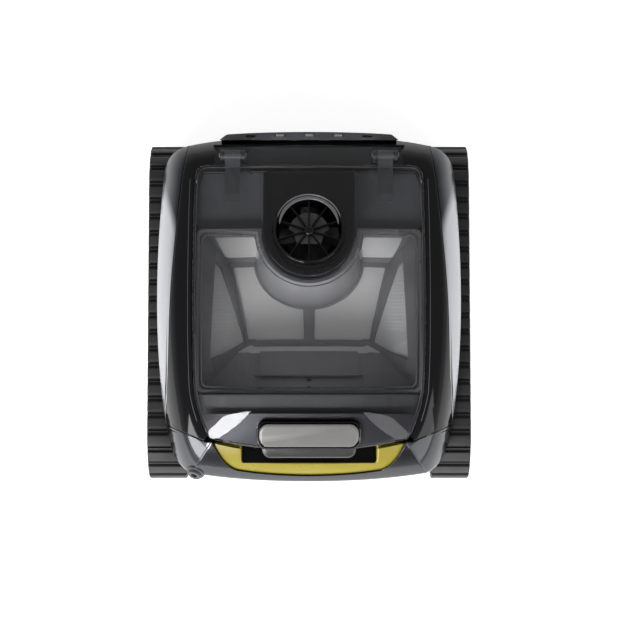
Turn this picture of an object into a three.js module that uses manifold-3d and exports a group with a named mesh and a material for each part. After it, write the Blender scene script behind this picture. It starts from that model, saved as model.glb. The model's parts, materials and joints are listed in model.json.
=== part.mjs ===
// Robotic pool cleaner on two rubber tracks, with a hinged smoked lid over its filter basket.
// Millimetres, +Z up. The origin is on the floor under the middle of the machine, and -Y is its front.
import * as THREE from 'three';
import { mergeVertices } from 'three/addons/utils/BufferGeometryUtils.js';
import Module from 'manifold-3d';

const wasm = await Module();
wasm.setup();

// ---- Driving dimensions -------------------------------------------------------------------------

const seat = 0.3;                   // gap left between pieces that sit on each other
const wall = 3;                     // wall of the moulded covers
const far = 600;                    // reach of a cutting prism, longer than the machine

// The machine's main sizes, which the rest follows
const chassisHalfWidth = 141;
const hullHalfLength = 209;         // front lip to the middle of the machine
const hullDepth = 78;               // from the hull's lower edge to the middle of the deck

// Tracks
const trackClearance = 8.5;         // between the chassis and each belt
const beltWidth = 46;
const trackOuterX = chassisHalfWidth + trackClearance + beltWidth;
const beltInnerRadius = 48.5;
const beltThickness = 5;
const landHeight = 4.5;             // the wide flat blocks of the tread
const beltOuterRadius = beltInnerRadius + beltThickness;
const axleZ = beltOuterRadius + landHeight;
const frontAxleY = 64 - hullHalfLength;
const rearAxleY = hullHalfLength - axleZ;   // the belts end level with the hull's rear
const axleSpacing = rearAxleY - frontAxleY;
const ribHeight = 2.6;              // the thin rib between two blocks
const treadCount = 46;
const hornCount = 15;               // guide horns inside the belt, one to three blocks
const hornHeight = 6;
const hornWidth = 8;
const hornLength = 7;

// Wheels and axles
const wheelRunningGap = 0.8;        // between a wheel's rim and the belt
const rimThickness = 9;
const webThickness = 7;
const wheelHubRadius = 15;
const axleRadius = 7;
const axleGap = 0.4;
const wheelWindowCount = 5;
const wheelWindowRadius = 7;
const capRadius = 19;
const capThickness = 4;
const capSink = 5;                  // how far the hub ends short of the wheel's outer face

// Wheel drive: an internal ring gear in each rear wheel and the motor's pinion
const gearModule = 1.9;
const ringTeeth = 30;
const pinionTeeth = 10;
const gearWidth = 8;
const gearBacklash = 0.5;
const pressureAngle = THREE.MathUtils.degToRad(25);
const pinionShaftRadius = 3;

// Hull
const hullOverhang = 35;            // how far the hull's rear corners stand out over the tracks
const hullHalfWidth = chassisHalfWidth + hullOverhang;
const grilleDepth = 9;
const hullRearY = hullHalfLength - grilleDepth;
const trackHeadroom = 3;            // between the belts and the hull over them
const hullBottomZ = 2 * axleZ + trackHeadroom;
const ridgeHeight = hullBottomZ + hullDepth;
const rearDrop = 26;                // how far the deck falls to the rear end
const frontDrop = 40;               // and to the front end
const sideShoulder = 50;            // how far the hull rounds off at its sides
const endShoulder = 24;             // and at its ends
const chassisFrontY = 25 - hullHalfLength;
const chassisRearY = hullRearY - 10;
const chassisBottomZ = 24;
const chassisWall = 5;
const wellFrontY = 102 - hullHalfLength;    // front and rear ends of the filter well
const wellRearY = hullRearY - 42;
const wellHalfWidth = chassisHalfWidth - 7.5;

// Lid
const lidHalfWidth = chassisHalfWidth - 3;
const lidRearY = wellRearY + 8;
const lidFrontY = 35 - hullHalfLength;
const lidCrown = 24;
const lidGap = 1;
const lidSkirt = 12;
const gasketThickness = 2.6;
const gasketWidth = 3.6;
const hingeY = lidRearY + 12;
const hingeZ = ridgeHeight - 21;
const hingeX = lidHalfWidth - 47;   // middle of each hinge
const hingePinRadius = 2.5;
const hingePinGap = 0.3;
const knuckleRadius = 6.5;
const knuckleWidth = 18;
const earWidth = 6;
const troughHalfWidth = hingeX + 22;        // trough behind the lid, where its rear edge swings
const troughFloorZ = hingeZ - 13;

// Latch
const latchWidth = 121;
const latchDepth = 29;
const latchY = lidFrontY + 15;
const latchTravel = 3;
const latchButtonHeight = 7;
const latchTrayWall = 2;
const latchTrayLip = 9.5;           // how far the tray reaches in front of the button
const latchTrayBottomZ = ridgeHeight - 31;

// Fascia and handle
const recessFloorZ = hullBottomZ + 3;
const gripRearY = 22 - hullHalfLength;      // rear face of the grip bar
const gripHalfWidth = 80;           // half the width between the handle's legs
const gripRise = 4;                 // how deep the handle sits under the fascia's surface
const fasciaBottomZ = 60;

// Pump
const pumpY = wellRearY - 75;
const coverTopZ = ridgeHeight - 32;         // top of the cover over the motor bay
const propellerRadius = 36;
const propellerGap = 1.5;
const propellerZ = coverTopZ - 7;
const bladeCount = 4;
const motorRadius = 40;
const motorBottomZ = 34;
const motorTopZ = propellerZ - 20;
const pumpShaftRadius = 3;
const ductRadius = 54;
const ductWall = 4;
const ductMouthRadius = 43;
const guardTilt = THREE.MathUtils.degToRad(12);
const guardRadius = 42;
const guardSpokes = 10;

// Filter basket
const basketHalfWidth = wellHalfWidth - 1.5;
const basketFrontY = wellFrontY + 2;
const basketRearY = pumpY + 6;
const basketTopZ = ridgeHeight - 23;
const basketFloorFrontY = basketFrontY + 65;
const basketFloorRearY = basketRearY - 31;
const basketFloorFrontHalf = basketHalfWidth - 61;  // half width of the floor at its front and rear
const basketFloorRearHalf = basketHalfWidth - 36;
const basketCorner = 7;             // rounding of the basket's corners
const basketFloorZ = basketTopZ - 79;
const basketWall = 2.4;
const notchRadius = 60;
const meshThickness = 1;

// Intake
const intakeHalfWidth = 56;
const intakeFrontY = basketFrontY + 25;
const intakeRearY = intakeFrontY + 22;
const bottomPlateThickness = 5;
const flapThickness = 2;

// Brush
const brushY = chassisFrontY + 26;
const brushZ = 31.5;
const brushRadius = 30.5;
const brushCoreRadius = 10;
const brushShaftRadius = 5;
const brushFins = 6;
const brushLength = chassisHalfWidth - 14;
const brushBayRadius = brushRadius + 3.5;
const bearingHalfWidth = 3.2;

// ---- Colours and finishes -----------------------------------------------------------------------

const finishes = {
  gloss: { color: 0x141416, roughness: 0.12, metalness: 0 },
  matt: { color: 0x26282a, roughness: 0.55, metalness: 0 },
  silver: { color: 0xb9bbc0, roughness: 0.28, metalness: 0.5 },
  gunmetal: { color: 0x6f7078, roughness: 0.2, metalness: 0.6 },
  yellow: { color: 0xc3b455, roughness: 0.35, metalness: 0 },
  rubber: { color: 0x2c2c2d, roughness: 0.8, metalness: 0 },
  smoked: { color: 0x3a3a3c, roughness: 0.05, metalness: 0, transparent: true, opacity: 0.4 },
  lightGrey: { color: 0x9fa0a0, roughness: 0.4, metalness: 0 },
  midGrey: { color: 0x77787a, roughness: 0.45, metalness: 0 },
  darkGrey: { color: 0x4a4b4e, roughness: 0.5, metalness: 0 },
  mesh: { color: 0xa4a4a4, roughness: 0.9, metalness: 0 },
  steel: { color: 0xb8babd, roughness: 0.3, metalness: 1 },
};

// ---- Solids -------------------------------------------------------------------------------------

// A closed geometry as a solid that can be joined and cut.
function solid(geometry) {
  const bare = geometry.clone();
  bare.deleteAttribute('normal');
  bare.deleteAttribute('uv');
  const welded = mergeVertices(bare, 1e-4);
  return new wasm.Manifold(new wasm.Mesh({
    numProp: 3,
    vertProperties: new Float32Array(welded.attributes.position.array),
    triVerts: new Uint32Array(welded.index.array),
  }));
}

// The geometry of a solid, with its flat faces kept flat.
function geometryOf(body) {
  const mesh = body.getMesh();
  const geometry = new THREE.BufferGeometry();
  geometry.setAttribute('position', new THREE.BufferAttribute(new Float32Array(mesh.vertProperties), 3));
  geometry.setIndex(new THREE.BufferAttribute(new Uint32Array(mesh.triVerts), 1));
  return geometry;
}

// Where a piece lies across X on the right side, or its mirror image on the left.
const span = (way, near, away) => (way > 0 ? [near, away] : [-away, -near]);

const join = (first, ...others) => others.reduce((body, other) => body.add(other), first);
const cut = (first, ...others) => others.reduce((body, other) => body.subtract(other), first);

// An upright prism over a plan outline, from one height to another.
function upright(shape, bottomZ, topZ, curveSegments = 4) {
  const depth = topZ - bottomZ;
  const geometry = new THREE.ExtrudeGeometry(shape, { depth, bevelEnabled: false, curveSegments });
  return solid(geometry.translate(0, 0, bottomZ));
}

// A prism along X over a side outline, whose two coordinates are Y and Z.
function across(shape, fromX, toX, curveSegments = 4) {
  const depth = toX - fromX;
  const geometry = new THREE.ExtrudeGeometry(shape, { depth, bevelEnabled: false, curveSegments });
  const turn = new THREE.Matrix4().makeBasis(
    new THREE.Vector3(0, 1, 0), new THREE.Vector3(0, 0, 1), new THREE.Vector3(1, 0, 0));
  return solid(geometry.applyMatrix4(turn).translate(fromX, 0, 0));
}

function box(fromX, toX, fromY, toY, fromZ, toZ) {
  const geometry = new THREE.BoxGeometry(toX - fromX, toY - fromY, toZ - fromZ);
  return solid(geometry.translate((fromX + toX) / 2, (fromY + toY) / 2, (fromZ + toZ) / 2));
}

// A cylinder along X, through a point of the side view.
function barAcross(radius, fromX, toX, y, z, segments = 14) {
  const geometry = new THREE.CylinderGeometry(radius, radius, toX - fromX, segments);
  return solid(geometry.rotateZ(-Math.PI / 2).translate((fromX + toX) / 2, y, z));
}

// A cylinder or cone that stands upright.
function post(bottomRadius, topRadius, bottomZ, topZ, x, y, segments = 24) {
  const geometry = new THREE.CylinderGeometry(topRadius, bottomRadius, topZ - bottomZ, segments);
  return solid(geometry.rotateX(Math.PI / 2).translate(x, y, (bottomZ + topZ) / 2));
}

// A turned piece about the upright axis; the profile lists radius and height and closes on itself.
function turned(profile, segments) {
  const points = [...profile, profile[0]].map(([radius, height]) => new THREE.Vector2(radius, height));
  return solid(outward(new THREE.LatheGeometry(points, segments).rotateX(Math.PI / 2)));
}

// Turns a geometry's triangles over if they face inwards.
function outward(geometry) {
  const whole = geometry.index ? geometry.toNonIndexed() : geometry;
  const position = whole.attributes.position;
  const corner = [new THREE.Vector3(), new THREE.Vector3(), new THREE.Vector3()];
  let volume = 0;
  for (let i = 0; i < position.count; i += 3) {
    corner.forEach((c, k) => c.fromBufferAttribute(position, i + k));
    volume += corner[0].dot(corner[1].clone().cross(corner[2]));
  }
  const faces = [];
  for (let i = 0; i < position.count; i += 3) {
    faces.push(...(volume < 0 ? [i, i + 2, i + 1] : [i, i + 1, i + 2]));
  }
  whole.setIndex(faces);
  return whole;
}

// A closed body through a row of sections with equal numbers of points, capped at both ends. Each
// side face is split along its shorter diagonal, so that mirrored sides come out alike.
function loft(sections, flat) {
  const count = sections[0].length;
  const positions = sections.flat().flatMap((p) => [p.x, p.y, p.z]);
  const faces = [];
  for (let s = 0; s < sections.length - 1; s += 1) {
    for (let i = 0; i < count; i += 1) {
      const a = s * count + i;
      const b = s * count + ((i + 1) % count);
      const corners = [a, b, b + count, a + count].map((k) => sections[Math.floor(k / count)][k % count]);
      const risesShort = corners[0].distanceTo(corners[2]) <= corners[1].distanceTo(corners[3]);
      faces.push(...(risesShort
        ? [a, b, b + count, a, b + count, a + count]
        : [a, b, a + count, b, b + count, a + count]));
    }
  }
  const caps = THREE.ShapeUtils.triangulateShape(flat, []);
  const last = (sections.length - 1) * count;
  for (const [a, b, c] of caps) {
    faces.push(c, b, a, last + a, last + b, last + c);
  }
  const geometry = new THREE.BufferGeometry();
  geometry.setAttribute('position', new THREE.Float32BufferAttribute(positions, 3));
  geometry.setIndex(faces);
  return solid(outward(geometry));
}

// A body over a plan outline between two surfaces, each a height for x, y and the share of the way
// from the outline's middle to its edge. Rings of points follow the outline inwards.
function slab(outline, middle, top, bottom, shares = [0.35, 0.65, 0.85, 0.95, 1], lowShares = shares) {
  const positions = [];
  const count = outline.length;
  const surface = (height, rings) => {
    const first = positions.length / 3;
    positions.push(middle.x, middle.y, height(middle.x, middle.y, 0, 0));
    for (const share of rings) {
      outline.forEach((p, i) => {
        const before = outline[(i + count - 1) % count];
        const after = outline[(i + 1) % count];
        const sideways = Math.abs(after.y - before.y) / Math.hypot(after.x - before.x, after.y - before.y);
        const x = middle.x + (p.x - middle.x) * share;
        const y = middle.y + (p.y - middle.y) * share;
        positions.push(x, y, height(x, y, share, sideways));
      });
    }
    return first;
  };
  const faces = [];
  const skin = (first, rings, up) => {
    const face = (a, b, c) => faces.push(...(up ? [a, b, c] : [a, c, b]));
    for (let i = 0; i < count; i += 1) {
      const next = (i + 1) % count;
      face(first, first + 1 + i, first + 1 + next);
      for (let ring = 0; ring < rings.length - 1; ring += 1) {
        const inner = first + 1 + ring * count;
        const outer = inner + count;
        face(inner + i, outer + i, outer + next);
        face(inner + i, outer + next, inner + next);
      }
    }
  };
  const upper = surface(top, shares);
  const lower = surface(bottom, lowShares);
  skin(upper, shares, true);
  skin(lower, lowShares, false);
  const upperRim = upper + 1 + (shares.length - 1) * count;
  const lowerRim = lower + 1 + (lowShares.length - 1) * count;
  for (let i = 0; i < count; i += 1) {
    const next = (i + 1) % count;
    faces.push(lowerRim + i, lowerRim + next, upperRim + next);
    faces.push(lowerRim + i, upperRim + next, upperRim + i);
  }
  const geometry = new THREE.BufferGeometry();
  geometry.setAttribute('position', new THREE.Float32BufferAttribute(positions, 3));
  geometry.setIndex(faces);
  return solid(outward(geometry));
}

// ---- Outlines -----------------------------------------------------------------------------------

// The hull's curves are drawn for a hull 176 by 209, and follow the machine's own size.
const fit = (x, y) => [(x * hullHalfWidth) / 176, (y * hullHalfLength) / 209];

const shapeOf = (points) => new THREE.Shape(points.map(([x, y]) => new THREE.Vector2(x, y)));

// Even points along a closed outline, anticlockwise, without the repeated last one.
function pointsAlong(shape, count) {
  const points = shape.getSpacedPoints(count).slice(0, count);
  return THREE.ShapeUtils.isClockWise(points) ? points.reverse() : points;
}

// A closed outline moved inwards by a distance, or outwards where it is negative.
function inset(points, distance) {
  const count = points.length;
  return points.map((p, i) => {
    const before = points[(i + count - 1) % count];
    const after = points[(i + 1) % count];
    const along = after.clone().sub(before).normalize();
    return new THREE.Vector2(p.x - along.y * distance, p.y + along.x * distance);
  });
}

function roundedRectangle(fromX, toX, fromY, toY, radius) {
  const shape = new THREE.Shape();
  shape.absarc(toX - radius, toY - radius, radius, 0, Math.PI / 2);
  shape.absarc(fromX + radius, toY - radius, radius, Math.PI / 2, Math.PI);
  shape.absarc(fromX + radius, fromY + radius, radius, Math.PI, Math.PI * 1.5);
  shape.absarc(toX - radius, fromY + radius, radius, Math.PI * 1.5, Math.PI * 2);
  return shape;
}

// A mirrored pair of curves: the right half is drawn from the rear middle to the front middle.
function symmetricOutline(half, count) {
  const right = half.getSpacedPoints(count);
  const left = right.slice(1, -1).reverse().map((p) => new THREE.Vector2(-p.x, p.y));
  const points = [...right, ...left];
  return THREE.ShapeUtils.isClockWise(points) ? points.reverse() : points;
}

// ---- Surfaces of the hull and lid ---------------------------------------------------------------

// Height of the deck along the machine, before it rounds off at its edges.
function deckHeight(y) {
  return ridgeHeight - (y > 0 ? rearDrop : frontDrop) * (y / hullHalfLength) ** 2;
}

// The hull's skin: it falls away towards the edge, most of all at the sides.
function hullTop(depth) {
  return (x, y, share, sideways) => {
    const shoulder = endShoulder + (sideShoulder - endShoulder) * sideways ** 2;
    return deckHeight(y) - shoulder * share ** 12 - depth;
  };
}

// The lid's skin: a low crown that meets the deck all round.
function lidTop(x, y) {
  const middleY = (lidRearY + lidFrontY) / 2;
  const acrossShare = Math.min(1, Math.abs(x) / lidHalfWidth);
  const alongShare = Math.min(1, Math.abs(y - middleY) / ((lidRearY - lidFrontY) / 2));
  return deckHeight(y) + 1 + lidCrown * (1 - acrossShare ** 3) * (1 - alongShare ** 3);
}

const lidUnder = (depth) => (x, y) => lidTop(x, y) - depth;

// Plan of the upper hull: bulged sides, round rear corners and a bowed nose.
function hullPlan() {
  const half = new THREE.Path();
  half.moveTo(0, hullRearY);
  half.quadraticCurveTo(fit(90, 0)[0], hullRearY, fit(144, 0)[0], hullRearY - 5);
  half.bezierCurveTo(fit(166, 0)[0], hullRearY - 8, hullHalfWidth, hullRearY - 20, ...fit(176, 160));
  half.bezierCurveTo(...fit(184, 70), ...fit(186, -60), ...fit(171, -142));
  half.bezierCurveTo(...fit(167, -170), ...fit(160, -190), ...fit(140, -199));
  half.quadraticCurveTo(...fit(80, -209), 0, -hullHalfLength);
  return symmetricOutline(half, 24);
}

const hullOutline = hullPlan();
const hullMiddle = new THREE.Vector2(0, 0);

// The line where the side cover meets the deck, from the rear to its tip at the front.
const sideLine = new THREE.SplineCurve([
  fit(143, 210), fit(153, 135), fit(163, 20), fit(167, -80), fit(173, -146),
].map(([x, y]) => new THREE.Vector2(x, y)));

// The line where the fascia meets the deck, on the right from the hull's side to the middle.
const fasciaCorner = new THREE.Vector2(...fit(172, -142));
const fasciaKnee = new THREE.Vector2(...fit(122, -163));

function lidPlan() {
  const half = new THREE.Path();
  half.moveTo(0, lidRearY);
  half.lineTo(lidHalfWidth - 20, lidRearY);
  half.quadraticCurveTo(lidHalfWidth - 2, lidRearY, lidHalfWidth - 2, lidRearY - 18);
  half.bezierCurveTo(lidHalfWidth, 60, lidHalfWidth, -60, lidHalfWidth - 3, lidFrontY + 69);
  half.quadraticCurveTo(lidHalfWidth - 8, lidFrontY + 39, lidHalfWidth - 21, lidFrontY + 14);
  half.quadraticCurveTo(lidHalfWidth / 2 - 9, lidFrontY, 0, lidFrontY);
  return symmetricOutline(half, 18);
}

const lidOutline = lidPlan();
const lidMiddle = new THREE.Vector2(0, (lidRearY + lidFrontY) / 2);
const lidShares = [0.5, 0.8, 1];
const rimShares = [0.85, 1];        // where only the lid's edge matters

// ---- Hull pieces --------------------------------------------------------------------------------

const hullShares = [0.84, 0.93, 1];
const hullBlock = slab(hullOutline, hullMiddle, hullTop(0), () => hullBottomZ, hullShares, [1]);

// Everything in front of the fascia line, as a plan prism.
function frontPrism(gap) {
  const { x: cornerX, y: cornerY } = fasciaCorner;
  const { x: kneeX, y: kneeY } = fasciaKnee;
  const slope = (cornerY - kneeY) / (cornerX - kneeX);
  const farY = kneeY + (far - kneeX) * slope;
  return upright(shapeOf([
    [-far, farY - gap], [-kneeX, kneeY - gap], [kneeX, kneeY - gap],
    [far, farY - gap], [far, -far], [-far, -far],
  ]), -far, far);
}

// The plan inside both side lines, moved in or out by a gap.
function deckPrism(gap) {
  const right = sideLine.getPoints(16).map((p) => [p.x + gap, p.y]);
  const left = right.map(([x, y]) => [-x, y]).reverse();
  return upright(shapeOf([...right, [right.at(-1)[0], -far], [-right.at(-1)[0], -far], ...left]), -far, far);
}

const lidPocket = slab(inset(lidOutline, -lidGap), lidMiddle, () => far,
  lidUnder(lidSkirt + gasketThickness + seat), [1], rimShares);
const lidSwing = 3;                 // how far the lid's rear edge moves back as it opens
const lidSwingPocket = solid(geometryOf(lidPocket).translate(0, lidSwing, 0));
const well = upright(roundedRectangle(-wellHalfWidth, wellHalfWidth, wellFrontY, wellRearY, 6), -far, far, 2);
const hingeTrough = box(-troughHalfWidth, troughHalfWidth, wellRearY, hullRearY - 6, troughFloorZ, far);

function sideCovers() {
  const outer = cut(hullBlock, deckPrism(seat), frontPrism(-seat));
  const hollow = slab(inset(hullOutline, wall), hullMiddle, hullTop(wall), () => -far, hullShares, [1]);
  const shell = cut(outer, hollow);
  const rightHalf = box(0, far, -far, far, -far, far);
  return { right: shell.intersect(rightHalf), left: cut(shell, rightHalf) };
}

function deckShell() {
  const block = cut(hullBlock.intersect(deckPrism(0)), frontPrism(0));
  return cut(block, lidPocket, lidSwingPocket, well, hingeTrough, handRecess(0));
}

// The hollow in the nose that the handle and the fingers go into, or one smaller by a gap.
function handRecess(gap) {
  const half = new THREE.Path();
  half.moveTo(...fit(0, -150));
  half.lineTo(...fit(114, -150));
  half.lineTo(...fit(115, -162));
  half.quadraticCurveTo(...fit(104, -190), ...fit(86, -196));
  half.quadraticCurveTo(...fit(50, -202), ...fit(0, -202.5));
  const outline = symmetricOutline(half, 24);
  return upright(new THREE.Shape(inset(outline, gap)), recessFloorZ + gap, far);
}

function frontFascia() {
  const lower = upright(roundedRectangle(-chassisHalfWidth, chassisHalfWidth, -far, chassisFrontY - seat, 1),
    fasciaBottomZ, hullBottomZ + 1);
  const chin = lower.intersect(slab(inset(hullOutline, 0.5), hullMiddle, () => hullBottomZ + 1,
    (x, y, share) => fasciaBottomZ + 22 * share ** 12, [1], [0.84, 0.92, 0.97, 1]));
  const nose = hullBlock.intersect(frontPrism(seat));
  return cut(join(nose, chin), handRecess(0), lidPocket);
}

function carryHandle() {
  const skin = slab(hullOutline, hullMiddle, hullTop(gripRise), () => 0, hullShares, [1]);
  const pocket = upright(roundedRectangle(-gripHalfWidth, gripHalfWidth, gripRearY, 0, 2),
    recessFloorZ - 20, far);
  const behindLid = slab(inset(lidOutline, -2), lidMiddle, () => far, lidUnder(lidSkirt + 6), [1], [0.8, 1]);
  const block = handRecess(seat).intersect(skin).intersect(frontPrism(seat));
  return cut(block, pocket, behindLid);
}

// A slotted bar across the rear edge of the hull.
function rearGrille() {
  const topZ = deckHeight(hullRearY) - 8;
  const halfWidth = hullHalfWidth - 66;
  const rearHalf = halfWidth - 8;
  const frontY = hullRearY + seat;
  let bar = upright(shapeOf([
    [-halfWidth, frontY], [halfWidth, frontY], [rearHalf, hullHalfLength], [-rearHalf, hullHalfLength],
  ]), topZ - 34, topZ);
  const slotCount = 7;
  const slotPitch = (2 * halfWidth) / (slotCount + 1.5);
  for (let i = 0; i < slotCount; i += 1) {
    const x = (i - (slotCount - 1) / 2) * slotPitch;
    bar = cut(bar, box(x - slotPitch / 4, x + slotPitch / 4, hullRearY - 1, hullRearY + 5.5,
      topZ - 30, topZ + 1));
  }
  return bar;
}

// ---- Chassis ------------------------------------------------------------------------------------

// The way in for the dirt, from under the floor up to the filter basket.
const intakeMouth = upright(
  roundedRectangle(-intakeHalfWidth, intakeHalfWidth, intakeFrontY, intakeRearY, 4), 0, far);

function chassisShell() {
  const halfWidth = chassisHalfWidth;
  const side = new THREE.Shape();
  side.moveTo(chassisRearY, hullBottomZ - seat);
  side.lineTo(chassisRearY, 70);
  side.quadraticCurveTo(chassisRearY - 8, chassisBottomZ, chassisRearY - 60, chassisBottomZ);
  side.lineTo(chassisFrontY, chassisBottomZ);
  side.lineTo(chassisFrontY, hullBottomZ - seat);
  const block = across(side, -halfWidth, halfWidth);
  const inner = halfWidth - chassisWall;
  const bay = upright(roundedRectangle(-inner, inner, wellFrontY, chassisRearY - chassisWall, 10),
    chassisBottomZ + chassisWall, far);
  const brushBay = barAcross(brushBayRadius, -inner, inner, brushY, brushZ, 20);
  const brushMouth = box(-inner, inner, brushY - brushBayRadius, brushY + brushBayRadius, -1, brushZ);
  const shaftHole = barAcross(brushShaftRadius + seat, -far, far, brushY, brushZ);
  const drives = [-1, 1].map((way) => driveShaftHole(way));
  return cut(block, bay, brushBay, brushMouth, bearingSocket(seat), intakeMouth, shaftHole, ...drives);
}

function bottomPlate() {
  const topZ = chassisBottomZ - seat;
  const halfWidth = chassisHalfWidth - 37;
  const plan = roundedRectangle(-halfWidth, halfWidth, wellFrontY - 9, chassisRearY - 66, 16);
  const plate = upright(plan, topZ - bottomPlateThickness, topZ);
  return cut(plate, intakeMouth);
}

// ---- Tracks and wheels --------------------------------------------------------------------------

const loopLength = 2 * axleSpacing + 2 * Math.PI * beltOuterRadius;

// A point of the belt's loop in the side view: so far along it, and so far out from its back.
function loopPoint(along, out) {
  const arc = Math.PI * beltOuterRadius;
  const radius = beltOuterRadius + out;
  const s = ((along % loopLength) + loopLength) % loopLength;
  if (s < axleSpacing) {
    return { y: rearAxleY - s, z: axleZ + radius, angle: Math.PI / 2 };
  }
  if (s < axleSpacing + arc) {
    const angle = Math.PI / 2 + (s - axleSpacing) / beltOuterRadius;
    return { y: frontAxleY + radius * Math.cos(angle), z: axleZ + radius * Math.sin(angle), angle };
  }
  if (s < 2 * axleSpacing + arc) {
    return { y: frontAxleY + (s - axleSpacing - arc), z: axleZ - radius, angle: -Math.PI / 2 };
  }
  const angle = -Math.PI / 2 + (s - 2 * axleSpacing - arc) / beltOuterRadius;
  return { y: rearAxleY + radius * Math.cos(angle), z: axleZ + radius * Math.sin(angle), angle };
}

// One belt: blocks and ribs outside, guide horns inside.
function belt(fromX) {
  const pitch = loopLength / treadCount;
  const tread = [
    [0, 0], [0.03, landHeight], [0.65, landHeight], [0.68, 0], [0.77, 0], [0.83, ribHeight], [0.89, 0],
  ];
  const outline = [];
  for (let i = 0; i < treadCount; i += 1) {
    for (const [share, out] of tread) {
      const { y, z } = loopPoint((i + share) * pitch, out);
      outline.push([y, z]);
    }
  }
  const inside = new THREE.Path();
  inside.absarc(rearAxleY, axleZ, beltInnerRadius, -Math.PI / 2, Math.PI / 2);
  inside.absarc(frontAxleY, axleZ, beltInnerRadius, Math.PI / 2, Math.PI * 1.5);
  const ring = shapeOf(outline);
  ring.holes.push(inside);
  const middleX = fromX + beltWidth / 2;
  const horns = Array.from({ length: hornCount }, (_, i) => {
    const along = (i + 0.5) * (loopLength / hornCount);
    const { y, z, angle } = loopPoint(along, -beltThickness - hornHeight / 2 + 1);
    const horn = new THREE.BoxGeometry(hornWidth, hornHeight + 2, hornLength);
    return solid(horn.rotateX(angle).translate(middleX, y, z));
  });
  return join(across(ring, fromX, fromX + beltWidth, 12), ...horns);
}

const wheelRadius = beltInnerRadius - wheelRunningGap;
const wheelWidth = beltWidth - 2;
const wheelInnerX = trackOuterX - beltWidth + 1;
const wheelOuterX = wheelInnerX + wheelWidth;
const wheelMiddleX = (wheelInnerX + wheelOuterX) / 2;

// A gear's outline about the origin, with involute flanks.
function gearOutline(teeth, addendum, dedendum, backlash, flankShares) {
  const pitchRadius = (teeth * gearModule) / 2;
  const baseRadius = pitchRadius * Math.cos(pressureAngle);
  const involute = (angle) => Math.tan(angle) - angle;
  const tipRadius = pitchRadius + addendum;
  const rootRadius = pitchRadius - dedendum;
  const halfAtPitch = Math.PI / (2 * teeth) - backlash / (2 * pitchRadius);
  const halfAt = (radius) => {
    const angle = Math.acos(Math.min(1, baseRadius / radius));
    return halfAtPitch + involute(pressureAngle) - involute(angle);
  };
  const startRadius = Math.max(rootRadius, baseRadius);
  const flank = flankShares.map((share) => startRadius + (tipRadius - startRadius) * share);
  const points = [];
  for (let i = 0; i < teeth; i += 1) {
    const middle = (i * 2 * Math.PI) / teeth;
    const at = (radius, angle) => points.push(
      [radius * Math.cos(middle + angle), radius * Math.sin(middle + angle)]);
    if (rootRadius < startRadius) at(rootRadius, -halfAt(startRadius));
    flank.forEach((radius) => at(radius, -halfAt(radius)));
    [...flank].reverse().forEach((radius) => at(radius, halfAt(radius)));
    if (rootRadius < startRadius) at(rootRadius, halfAt(startRadius));
  }
  return shapeOf(points);
}

const pinionDistance = (gearModule * (ringTeeth - pinionTeeth)) / 2;

// A wheel standing upright on its inner face: rim, guide groove, web, hub and round windows.
function wheel(geared) {
  const half = wheelWidth / 2;
  const groove = hornWidth / 2 + 1.2;
  const grooveRadius = beltInnerRadius - hornHeight - 1.2;
  const rimInner = grooveRadius - 3.5;
  const bore = axleRadius + axleGap;
  const webHalf = webThickness / 2;
  const hubStart = geared ? gearWidth + 1 - half : -half;
  let body = turned([
    [bore, hubStart], [wheelHubRadius, hubStart], [wheelHubRadius, -webHalf], [rimInner, -webHalf],
    [rimInner, -half], [wheelRadius, -half], [wheelRadius, -groove], [grooveRadius, -groove],
    [grooveRadius, groove], [wheelRadius, groove], [wheelRadius, half], [rimInner, half],
    [rimInner, webHalf], [wheelHubRadius, webHalf], [wheelHubRadius, half - capSink], [bore, half - capSink],
  ], 18);
  const reach = (wheelHubRadius + rimInner) / 2;
  for (let i = 0; i < wheelWindowCount; i += 1) {
    const angle = ((i + 0.5) * 2 * Math.PI) / wheelWindowCount;
    body = cut(body, post(wheelWindowRadius, wheelWindowRadius, -half, half,
      reach * Math.cos(angle), reach * Math.sin(angle), 6));
  }
  if (!geared) return body;
  const ringBlank = post(rimInner + 1, rimInner + 1, -half, gearWidth - half, 0, 0, 18);
  const toothSpaces = gearOutline(ringTeeth, 1.25 * gearModule, 0.8 * gearModule,
    -gearBacklash / 2, [0, 1]);
  return join(body, cut(ringBlank, upright(toothSpaces, -far, far)));
}

function pinion() {
  const outline = gearOutline(pinionTeeth, gearModule, 1.25 * gearModule, gearBacklash / 2, [0, 1]);
  const bore = new THREE.Path();
  bore.absarc(0, 0, pinionShaftRadius + seat, 0, Math.PI * 2);
  outline.holes.push(bore);
  return upright(outline, 0.5, gearWidth - 0.5, 8);
}

// A stub axle along X with a flange against the chassis and a screwed end.
function axle() {
  const flangeEnd = wheelInnerX - chassisHalfWidth - 5;
  const end = wheelOuterX - capSink - chassisHalfWidth;
  return turned([
    [0, seat], [axleRadius + 7, seat], [axleRadius + 7, flangeEnd - 2], [axleRadius, flangeEnd],
    [axleRadius, end], [0, end],
  ], 12);
}

function wheelCap() {
  const screwRecess = 4;
  return turned([
    [0, seat], [capRadius, seat], [capRadius, capThickness * 0.5], [capRadius - 3, capThickness],
    [screwRecess + 3, capThickness], [screwRecess, capThickness - 1.5], [0, capThickness - 1.5],
  ], 16);
}

// The drive motor, a sealed can lying inside the chassis wall, with its shaft through the wall.
const driveY = rearAxleY - pinionDistance;
const driveMotorRadius = 19;
const driveMotorLength = 66;

function driveShaftHole(way) {
  const edges = span(way, chassisHalfWidth - chassisWall - 1, chassisHalfWidth + 1);
  return barAcross(pinionShaftRadius + 0.5, ...edges, driveY, axleZ);
}

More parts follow.
